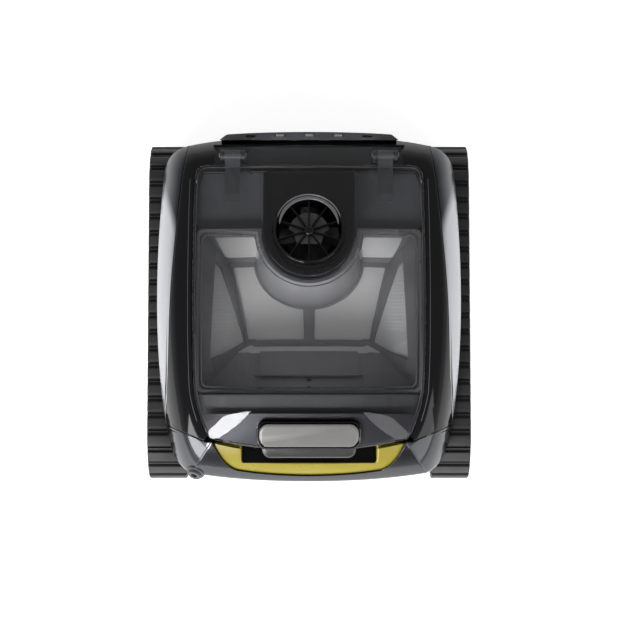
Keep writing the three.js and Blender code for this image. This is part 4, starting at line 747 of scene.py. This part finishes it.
# The band painted inside the lid's front, which hides the seat below the latch.
def makeLidMask():
    loop = grown(lidLoop, -lid["wall"] - 0.6)
    front = loop[loop[:, 1] < lid["maskRear"]]
    front = front[np.argsort(np.arctan2(front[:, 1] + 60, front[:, 0]))]
    rear = straight((front[-1, 0], lid["maskRear"]), (front[0, 0], lid["maskRear"]), 40)[1:-1]
    creases = [straight((-120 + 4 * k, y), (120 - 4 * k, y), 60) for k, y in enumerate(lid["maskCreases"])]
    sheetPiece("lidMask", [np.vstack([front, rear])], creases, lambda x, y: lidHeight(x, y) - lid["wall"] - 0.3, 0.8,
               "dark_grey", "lid", ["lid_window"], "smokedLacquer")


makeLid()
makeBeads()
print("lid made")


# Latch on the lid's front edge
latch = {"width": 123.0, "depth": 32.0, "y": -156.6, "corner": 11.0, "trayWall": 2.0, "lip": 9.5,
         "trayBottom": 166.0, "slope": 0.5}


# The latch's face: a plane that rises to the rear.
def latchPlane(x, y):
    return hull["ridge"] + latch["slope"] * (y - latch["y"] - latch["depth"] / 2)


# A long box with well-rounded corners.
def pill(width, fromY, toY):
    radius = min((toY - fromY) / 2 - 0.6, latch["corner"])
    return refined(roundedBox(-width / 2, width / 2, fromY, toY, radius, 24), 1.5)


# A body over an outline: a bottom, then rings that shrink inwards, each with its inset and rise on the latch's face.
def cushionBody(outline, steps, bottom):
    rows = [np.column_stack([outline, np.broadcast_to(bottom, len(outline))])]
    for ring, rise in [(grown(outline, -inset), rise) for inset, rise in steps]:
        rows.append(np.column_stack([ring, latchPlane(ring[:, 0], ring[:, 1]) + rise]))
    return np.stack(rows)


def makeLatch():
    rear, front = latch["y"] + latch["depth"] / 2, latch["y"] - latch["depth"] / 2
    inward = latch["trayWall"] + 1.0
    button = pill(latch["width"] - 2 * inward, front + inward, rear - inward)
    points = cushionBody(button, [(0, 0.2), (0.2, 0.9), (0.6, 1.45), (1.2, 1.8), (2.2, 2.1), (3.6, 2.2)],
                         latchPlane(button[:, 0], button[:, 1]) - 2)
    gridPiece("latchButton", [points], "light_grey", "latch", ["latch_button"])
    tray = pill(latch["width"], front, rear)
    hole = pill(latch["width"] - 2 * latch["trayWall"], front + latch["trayWall"], rear - latch["trayWall"])
    hole = evenly(hole, len(tray))
    rows = []
    for ring, height in [(tray, None), (tray, -1.6), (grown(tray, -0.5), -0.7), (grown(hole, 0.7), -0.2),
                         (hole, -0.6), (hole, -5.5)]:
        z = np.full(len(ring), latch["trayBottom"]) if height is None else latchPlane(ring[:, 0], ring[:, 1]) + height
        rows.append(np.column_stack([ring, z]))
    gridPiece("latchTray", [np.stack(rows)], "dark_grey", "lid", ["latch_tray"], finish="polishedBlackAbs")
    lip = pill(latch["width"] - 12, front - latch["lip"], front + 12)
    points = cushionBody(lip, [(0, -3.6), (0.4, -2.7), (1.2, -2), (2.6, -1.6), (6, -1.4)], latch["trayBottom"])
    gridPiece("latchLip", [points], "dark_grey", "lid", ["latch_tray"], finish="satinTrayAbs")


makeLatch()
print("latch made")


# Duct, guard and their neighbours
duct = {"radius": 54.0, "rear": 156.8, "bottom": 141.0, "wall": 4.0, "throat": 37.5, "floor": 172.0, "topGap": 7.0,
        "rimWall": 1.9, "dishDepth": 5.0, "dishRun": 5.0, "flangeTop": 168.0, "flangeFoot": 165.4}


def ductOutline(radius, rear, corner=3.0):
    turn = np.linspace(math.pi, 2 * math.pi, 97)
    front = np.column_stack(around(pump["centre"], radius, turn))
    corners = roundedBox(-radius, radius, pump["centre"][1] - 20, rear, corner)[:20]
    return refined(np.concatenate([front, corners]), 2.0)


def makeDuct():
    centre = pump["centre"]
    outer = distanceAt(ductOutline(duct["radius"], duct["rear"]), centre)
    inner = distanceAt(ductOutline(duct["radius"] - duct["wall"], duct["rear"] - duct["wall"]), centre)
    angles = np.linspace(-math.pi, math.pi, 541)[:-1]
    rim = lambda x, y: lidHeight(x, y) - duct["topGap"]
    tower = skinRing(angles, centre, inner(angles), outer(angles), rim, duct["floor"], duct["bottom"], (1.6, 1.6),
                     wall=duct["rimWall"])
    gridPiece("ductTower", [tower], "gloss_black", "root", ["outlet_duct"], ring=True)
    # Bowl floor: dished down from the tower's foot to the throat by a bell curve of the way to it.
    throat, deep, run = duct["throat"], duct["dishDepth"], duct["dishRun"]
    dish = lambda x, y: duct["floor"] + 3 - deep * np.exp(-((np.hypot(x, y - centre[1]) - throat) / run) ** 2)
    floor = skinRing(angles, centre, throat, inner(angles) + 0.6, dish, duct["bottom"], duct["floor"] - 3, (1.5, 0.3))
    gridPiece("ductBowl", [floor], "gloss_black", "root", ["outlet_duct"], ring=True)
    flange = distanceAt(ductOutline(duct["radius"] + 3.5, duct["rear"] + 1), centre)
    shelf = skinRing(angles, centre, outer(angles) - 0.5, flange(angles), lambda x, y: duct["flangeTop"] + 0 * x,
                     duct["flangeFoot"], duct["flangeFoot"], (0.4, 0.8))
    gridPiece("ductFlange", [shelf], "dark_grey", "root", ["outlet_duct"], ring=True)


# A rib along an arc set back from the guard's centre, thinned towards both ends by a square root.
def ribArc(section, count, fromAngle, toAngle):
    radii, heights = np.array(section, float).T
    run = np.linspace(0, 1, count)[:, None]
    angles = fromAngle + (toAngle - fromAngle) * run
    share = np.sqrt(np.clip(np.minimum(run, 1 - run) / pump["ribTaper"], 0.02, 1))
    away = radii.mean() + (radii - radii.mean()) * share
    up = heights.min() + (heights - heights.min()) * share
    return tilted(np.stack([*around((0, pump["ribBack"]), away, angles), up], -1))


# From the guard's own axes to the shared frame: tipped to the front and set in the lid's skin.
def tilted(points):
    tilt = pump["tilt"]
    x, y, z = np.moveaxis(points, -1, 0)
    centreZ = lidHeight(np.array(0.0), np.array(pump["centre"][1])) - 1.5
    return np.stack([x, pump["centre"][1] + y * math.cos(tilt) - z * math.sin(tilt),
                     centreZ + y * math.sin(tilt) + z * math.cos(tilt)], -1)


def makeGuard():
    radius = pump["guardRadius"]
    ringProfile = [(radius - 3, -13), (radius - 0.2, -13), (radius, -12.6), (radius, 1.4), (radius - 0.3, 2.2),
                   (radius - 1.0, 2.8), (radius - 1.9, 2.9), (radius - 2.8, 2.5), (radius - 3.5, 1.5),
                   (radius - 3.6, -1)]
    hubProfile = [(0.05, -5), (5.6, -5), (6, -4.6), (6, -0.9), (5.6, -0.3), (4.6, 0.7), (3.2, 1.4), (0.05, 1.7)]
    for name, profile, count in (("guardRing", ringProfile, 144), ("guardHub", hubProfile, 48)):
        gridPiece(name, [tilted(turnedRings(profile, count))], "gloss_black", "lid", ["outlet_guard"], ring=True)
    spokes, start = [], pump["hub"]
    away = np.linspace(start, radius - 3.2, 16)[:, None]
    across, up = np.array([(-0.9, -5), (0.9, -5), (0.9, -0.7), (0.6, -0.2), (0, 0), (-0.6, -0.2), (-0.9, -0.7)]).T
    arched = up + pump["spokeArch"] * np.sin(np.pi * (away - start) / (radius - 3 - start))
    for k in range(pump["spokes"]):
        angle = math.pi / 2 + 2 * math.pi * k / pump["spokes"]
        x, y = away * math.cos(angle) - across * math.sin(angle), away * math.sin(angle) + across * math.cos(angle)
        spokes.append(tilted(np.stack([x, y, arched], -1)))
    gridPiece("guardSpokes", spokes, "gloss_black", "lid", ["outlet_guard"])
    # Two lighter grey ribs round the rear half, a painted highlight for the ring's reflection, and the cap that carries
    # the spokes.
    for name, (inner, outer, top) in pump["ribs"].items():
        section = [(inner, 1.2), (outer, 1.2), (outer, top - 0.4), (outer - 0.4, top), (inner + 0.4, top),
                   (inner, top - 0.4)]
        gridPiece(name, [ribArc(section, 84, math.radians(3), math.radians(177))], "dark_grey", "lid",
                  ["outlet_guard"], "guardHighlightGreyAbs")
    turn = np.linspace(math.radians(6), math.radians(174), 48)
    outline = np.vstack([np.column_stack(around((0, 0), pump["cap"], turn)), pump["capFoot"]])
    gridPiece("guardCap", [tilted(levels(outline, (-7.2, -5.6)))], "dark_grey", "lid", ["outlet_guard"], "rimGreyAbs")


makeDuct()
makeGuard()
print("duct and guard made")


# Tracks
track = {
    "innerX": 149.5, "outerX": 195.5, "frontAxle": -145.0, "rearAxle": 151.0, "axleZ": 58.0,
    "beltRadius": 53.5, "beltInner": 48.5, "land": 4.5, "rib": 2.6, "treads": 46,
    "horns": 15, "hornHeight": 6.0, "edge": 1.1,
}


# The belt's loop in the side view: two straights and two half circles, at a height out from its back.
def loopPoints(way, out):
    front, rear, radius = track["frontAxle"], track["rearAxle"], track["beltRadius"]
    spacing, arc = rear - front, math.pi * radius
    s, at = np.mod(way, 2 * (spacing + arc)), radius + out
    onFront = math.pi / 2 + (s - spacing) / radius
    onRear = -math.pi / 2 + (s - 2 * spacing - arc) / radius
    parts = [s < spacing, s < spacing + arc, s < 2 * spacing + arc]
    along = [rear - s, front + at * np.cos(onFront), front + s - spacing - arc]
    y = np.select(parts, along, rear + at * np.cos(onRear))
    z = np.select(parts, [at, at * np.sin(onFront), -at], at * np.sin(onRear))
    return y, track["axleZ"] + z


def makeTracks():
    pitch = 2 * ((track["rearAxle"] - track["frontAxle"]) + math.pi * track["beltRadius"]) / track["treads"]
    land, rib = track["land"], track["rib"]
    # One tread's section: its share of the pitch and its height, a broad block and then a low rib.
    tread = np.array([(0, 0), (0.02, 0.3), (0.035, land - 0.9), (0.05, land - 0.25), (0.08, land), (0.2, land),
                      (0.34, land), (0.48, land), (0.6, land), (0.63, land - 0.25), (0.645, land - 0.9), (0.66, 0.3),
                      (0.68, 0), (0.77, 0), (0.79, rib - 0.5), (0.81, rib), (0.85, rib), (0.87, rib - 0.5), (0.89, 0)])
    shares = (np.arange(track["treads"])[:, None] + tread[None, :, 0]).ravel()
    out = np.tile(tread[:, 1], track["treads"])
    fromX, toX, edge = track["innerX"], track["outerX"], track["edge"]
    thickness = track["beltRadius"] - track["beltInner"]
    lifts = [(fromX, 0.0), (fromX, 0.62), (fromX + 0.4, 0.9), (fromX + edge, 1.0), (toX - edge - 1.5, 1.0),
              (toX - edge, 0.97), (toX - 0.35, 0.85), (toX, 0.55), (toX, 0.0)]
    columns = [(x, out * lift) for x, lift in lifts] + [(x, np.full_like(out, -thickness)) for x in (toX, fromX)]
    belt = np.stack([np.stack([np.full_like(out, x), *loopPoints(shares * pitch, high)], -1) for x, high in columns], 1)
    horns, middle = [], (fromX + toX) / 2
    foot, tip = -thickness + 0.5, -thickness - track["hornHeight"]
    for k in range(track["horns"]):
        way = (k + 0.5) * pitch * track["treads"] / track["horns"]
        rows = []
        for high, half, wide in [(foot, 3.5, 4.0), (tip + 1, 2.9, 3.4), (tip, 2.2, 2.6)]:
            across, along = np.array([(-wide, -half), (wide, -half), (wide, half), (-wide, half)]).T
            rows.append(np.column_stack([middle + across, *loopPoints(way + along, np.full(4, high))]))
        horns.append(np.stack(rows))
    for side, flip in (("right", 1), ("left", -1)):
        gridPiece("trackBelt." + side, [belt * [flip, 1, 1]], "track_rubber", "root", ["track_" + side], ring=True)
        gridPiece("trackHorns." + side, [h * [flip, 1, 1] for h in horns], "track_rubber", "root")


makeTracks()
print("tracks made")


# Which points lie inside a closed outline: an odd number of its sides is crossed on the way right.
def inside(points, outline):
    a = np.asarray(outline, float)
    b = np.roll(a, -1, axis=0)
    x, y = points[:, 0, None], points[:, 1, None]
    spans = (a[:, 1] > y) != (b[:, 1] > y)
    reach = a[:, 0] + (y - a[:, 1]) * (b[:, 0] - a[:, 0]) / np.where(b[:, 1] == a[:, 1], 1, b[:, 1] - a[:, 1])
    return (spans & (x < reach)).sum(axis=1) % 2 == 1


# A sheet over a plan outline with openings: triangles between the outlines and crease lines, lifted
# to a height and given a thickness downwards.
def sheetPiece(name, outlines, creases, height, thickness, slot, body, replaced=(), finish=None, bevel=0.0):
    verts, edges = [], []
    lines = [(refined(np.asarray(o, float), 3.0), 0) for o in outlines] + [(c, 1) for c in creases]
    for points, isOpen in lines:
        first, count = len(verts), len(points)
        verts += [Vector((float(x), float(y))) for x, y in points]
        edges += [(first + k, first + (k + 1) % count) for k in range(count - isOpen)]
    plan, _, faces, _, _, _ = delaunay_2d_cdt(verts, edges, [], 0, 1e-5)
    xy = np.array([tuple(v) for v in plan])
    faces = np.array(faces)
    middle = xy[faces].mean(axis=1)
    keep = inside(middle, outlines[0])
    for opening in outlines[1:]:
        keep &= ~inside(middle, opening)
    points = np.column_stack([xy, height(xy[:, 0], xy[:, 1])])
    piece = addPiece(name, points, faces[keep].tolist(), slot, body, replaced, finish, isSheet=True)
    solid = piece.modifiers.new("wall", "SOLIDIFY")
    solid.thickness = thickness * mm
    solid.offset = -1
    if bevel:
        rounding = piece.modifiers.new("edge", "BEVEL")
        rounding.width = bevel * mm
        rounding.segments = 2
        rounding.limit_method = "ANGLE"
    return piece


# Filter basket
basket = {
    "half": 132.0, "front": -105.0, "rear": 89.0, "top": 174.0, "floor": 95.0,
    "floorFront": (71.0, -40.0), "floorRear": (96.0, 58.0),     # half width and place of the floor's two ends
    "notch": 57.0, "notchFloor": 84.0, "frame": 2.4, "screws": (-88.0, -97.5),
    "rearWindow": [(-111, 81), (-66, 81), (-64, 62), (-99.5, 62)],
    "sideWindow": [(-110, 56), (-103, 50), (-73.5, -39), (-114, -66)],
    "frontWindow": [(-66, -43.5), (66, -43.5), (83, -53), (-83, -53)],
    "floorWindow": [(-6, -37), (-69, -37)], "windowCorner": 3.0, "cornerX": 124, "notchX": 58,
    "frameRise": 1.6,
    "rims": {"basketRim": (0.4, 3.2, 3.0), "basketInnerRim": (6.5, 1.2, 2.0)},      # inset, width, rise
}


# How wide the notch's wall is on its way down: 3 mm at its ends, and most at the front by a power of the sine.
def notchRun(sine):
    return 3 + (basket["notchFloor"] - basket["notch"] - 3) * np.clip(-sine, 0, 1) ** 0.7


# Bowl: the highest of the floor, the planes that lean out to the front, the sides and the rear, and the notch's wall.
def basketHeight(x, y):
    (frontHalf, floorFront), (rearHalf, floorRear) = basket["floorFront"], basket["floorRear"]
    frontSlope = (floorFront - y) / (floorFront - basket["front"])
    rearSlope = (y - floorRear) / (basket["rear"] - floorRear)
    edge = frontHalf + (rearHalf - frontHalf) * np.clip((y - floorFront) / (floorRear - floorFront), -0.6, 1.3)
    sideSlope = (np.abs(x) - edge) / (basket["half"] - 6 - edge)
    cx, cy = pump["centre"]
    away = np.hypot(x - cx, y - cy)
    gap = notchRun((y - cy) / np.maximum(away, 1e-6))
    notchSlope = (basket["notch"] + gap - away) / gap
    slope = np.clip(np.maximum.reduce([frontSlope, rearSlope, sideSlope, notchSlope, 0 * x]), 0, 1)
    return basket["floor"] + (basket["top"] - basket["floor"]) * slope


# The basket's plan: a rounded box with the notch's arc let into its rear.
def basketOutline(inset):
    half, front, rear = basket["half"] - inset, basket["front"] + inset, basket["rear"] - inset
    outer = roundedBox(-half, half, front, rear, 7)
    radius = basket["notch"] + inset
    start = math.asin(min(1, (rear - pump["centre"][1]) / radius))
    notch = notchArc(np.linspace(math.pi - start, 2 * math.pi + start, 64), radius)
    return np.concatenate([np.roll(outer, -(len(outer) // 4), axis=0), notch[::-1]])


# Points round the pump's centre.
def notchArc(turn, radius):
    return np.column_stack(around(pump["centre"], radius, turn))


# Breaks a straight line into short stretches.
def straight(a, b, count=24):
    t = np.linspace(0, 1, count)[:, None]
    return np.array(a) + (np.array(b) - np.array(a)) * t


def makeBasket():
    (frontHalf, floorFront), (rearHalf, floorRear) = basket["floorFront"], basket["floorRear"]
    creases = []
    for way in (-1, 1):
        frontCorner, rearCorner = (way * frontHalf, floorFront), (way * rearHalf, floorRear)
        x = way * basket["cornerX"]
        ends = [(frontCorner, rearCorner), (frontCorner, (x, basket["front"] + 2)),
                (rearCorner, (x, basket["rear"] - 2)), (rearCorner, (way * basket["notchX"], floorRear))]
        creases += [straight(a, b) for a, b in ends]
    creases.append(straight((-frontHalf, floorFront), (frontHalf, floorFront)))
    turn = np.linspace(math.pi * 1.02, math.pi * 1.98, 60)
    creases += [notchArc(turn, basket["notch"] + share * notchRun(np.sin(turn))) for share in (1.0, 0.5)]
    mirror = lambda points: [(-x, y) for x, y in points]
    turn = np.linspace(math.pi * 1.135, math.pi * 1.475, 26)
    arc = notchArc(turn, basket["notch"] + notchRun(np.sin(turn)) + 2.5).tolist()
    floorWindow = [(-92, arc[0][1])] + arc + basket["floorWindow"]
    windows = [basket["rearWindow"], mirror(basket["rearWindow"]), basket["sideWindow"], mirror(basket["sideWindow"]),
               basket["frontWindow"], floorWindow, mirror(floorWindow)]
    outline = basketOutline(0.5)
    sheetPiece("basketFrame", [outline] + [softened(w, basket["windowCorner"]) for w in windows], creases,
               lambda x, y: basketHeight(x, y) + basket["frameRise"], basket["frame"], "mid_grey", "root",
               ["filter_basket"], finish="smokeGreyAbs")
    sheetPiece("basketMesh", [outline], creases, lambda x, y: basketHeight(x, y) - 1.0, 0.8,
               "filter_cloth", "root", ["filter_mesh"])
    # Rims: a raised lip round the top, and a thinner one inside it.
    for name, (inset, wide, rise) in basket["rims"].items():
        sheetPiece(name, [basketOutline(inset), basketOutline(inset + wide)], [],
                   lambda x, y: basket["top"] + rise - 0.8 + 0 * x, 3.0, "mid_grey", "root", ["filter_basket"],
                   "rimGreyAbs", 0.4)


# A polygon with its corners rounded by short quadratic curves.
def softened(points, radius, each=6):
    p = np.asarray(points, float)
    before, after = np.roll(p, 1, 0) - p, np.roll(p, -1, 0) - p
    lb, la = np.hypot(*before.T)[:, None], np.hypot(*after.T)[:, None]
    r = np.minimum(radius, np.minimum(lb, la) * 0.45)
    a, b = p + before / lb * r, p + after / la * r
    t = np.linspace(0, 1, each)[None, :, None]
    rows = (1 - t) ** 2 * a[:, None] + 2 * t * (1 - t) * p[:, None] + t ** 2 * b[:, None]
    return rows.reshape(-1, 2)


# Two small screws in the basket's front lip.
def makeBasketScrews():
    profile = [(0.05, -2), (2.6, -2), (2.6, 0.4), (2.2, 0.8), (1.2, 0.8), (1.0, 0.2), (0.05, 0.2)]
    screws = []
    for y in basket["screws"]:
        seat = float(basketHeight(np.array(0.0), np.array(y))) + basket["frameRise"]
        screws.append(turnedRings(profile, 24, (0, y)) + [0, 0, seat])
    gridPiece("basketScrews", screws, "matt_black", "root", ring=True)


makeBasket()
makeBasketScrews()
makeLidTail()
makeLidMask()
for node, finish in (("propeller", "rimGreyAbs"), ("inlet_flap", "smokeGreyAbs"),
                     ("hinge_arm_right", "texturedDarkAbs"), ("hinge_arm_left", "texturedDarkAbs")):
    nodes[node].data.materials[0] = finishes[finish]
print("basket made")


# Rear grille and cable gland
grille = {"half": 108.0, "front": 199.0, "rear": 208.8, "arch": 3.0, "slots": 5, "pitch": 35.0, "slot": (12.0, 3.2),
          "drop": 8.2, "deep": 23.0}


def makeGrille():
    topZ = float(deckHeight(np.array(200.0))) - grille["drop"]
    half, tip, rear = grille["half"], grille["half"] - 9, grille["rear"]
    across = np.linspace(tip, -tip, 21)
    arched = np.column_stack([across, rear - grille["arch"] * (across / tip) ** 2])
    outline = softened(np.vstack([[(-half, grille["front"]), (half, grille["front"])], arched]), 1.5, 3)
    wide, deep = grille["slot"]
    middle = (grille["front"] + rear) / 2
    slots = []
    for k in range(grille["slots"]):
        x = (k - (grille["slots"] - 1) / 2) * grille["pitch"]
        at = middle + 0.6 - 2.2 * (x / tip) ** 2
        slots.append(roundedBox(x - wide / 2, x + wide / 2, at - deep / 2, at + deep / 2, 1.0, 6))
    crown = lambda x, y: topZ - 0.6 * ((y - middle) / 4) ** 2 - 2.0 * (np.abs(x) / half) ** 6
    sheetPiece("rearGrille", [outline] + slots, [], crown, 4, "matt_black", "root", ["rear_grille"],
               finish="texturedDarkAbs", bevel=0.4)
    core = [0, middle]
    plateFrom("grilleBody", (outline - core) * [0.985, 0.8] + core, topZ - 3.5, grille["deep"], "matt_black", "root")
    plugs = []
    for slot in slots[1:-1]:
        centre = slot.mean(axis=0)
        plugs.append(levels((slot - centre) * [0.8, 0.9] + centre, (topZ - 4, topZ - 0.7)))
    gridPiece("grillePlugs", plugs, "mid_grey", "root", finish="satinMidAbs")


gland = {"seat": (-134.5, -195.5, 134), "direction": (-0.33, -0.82, 0.47), "scale": 1.1}


# The cable's gland: a round collar turned about its own axis.
def makeGland():
    profile = [(0.05, -1), (10, -1), (10, 3.2), (9.6, 4.0), (8.6, 4.4), (7.6, 4.4), (7.4, 6.8), (6.9, 7.6),
               (5.4, 7.9), (3.6, 7.6), (3.3, 6.8), (3.2, 2.0), (0.05, 1.8)]
    along = np.array(gland["direction"]) / np.linalg.norm(gland["direction"])
    across = np.cross((0, 0, 1.0), along)
    across /= np.linalg.norm(across)
    rings = turnedRings(profile, 48) @ np.array([across, np.cross(along, across), along])
    gridPiece("cableGland", [rings * gland["scale"] + gland["seat"]], "dark_grey", "root", ["cable_gland"], ring=True)


makeGrille()
makeGland()
print("grille and gland made")
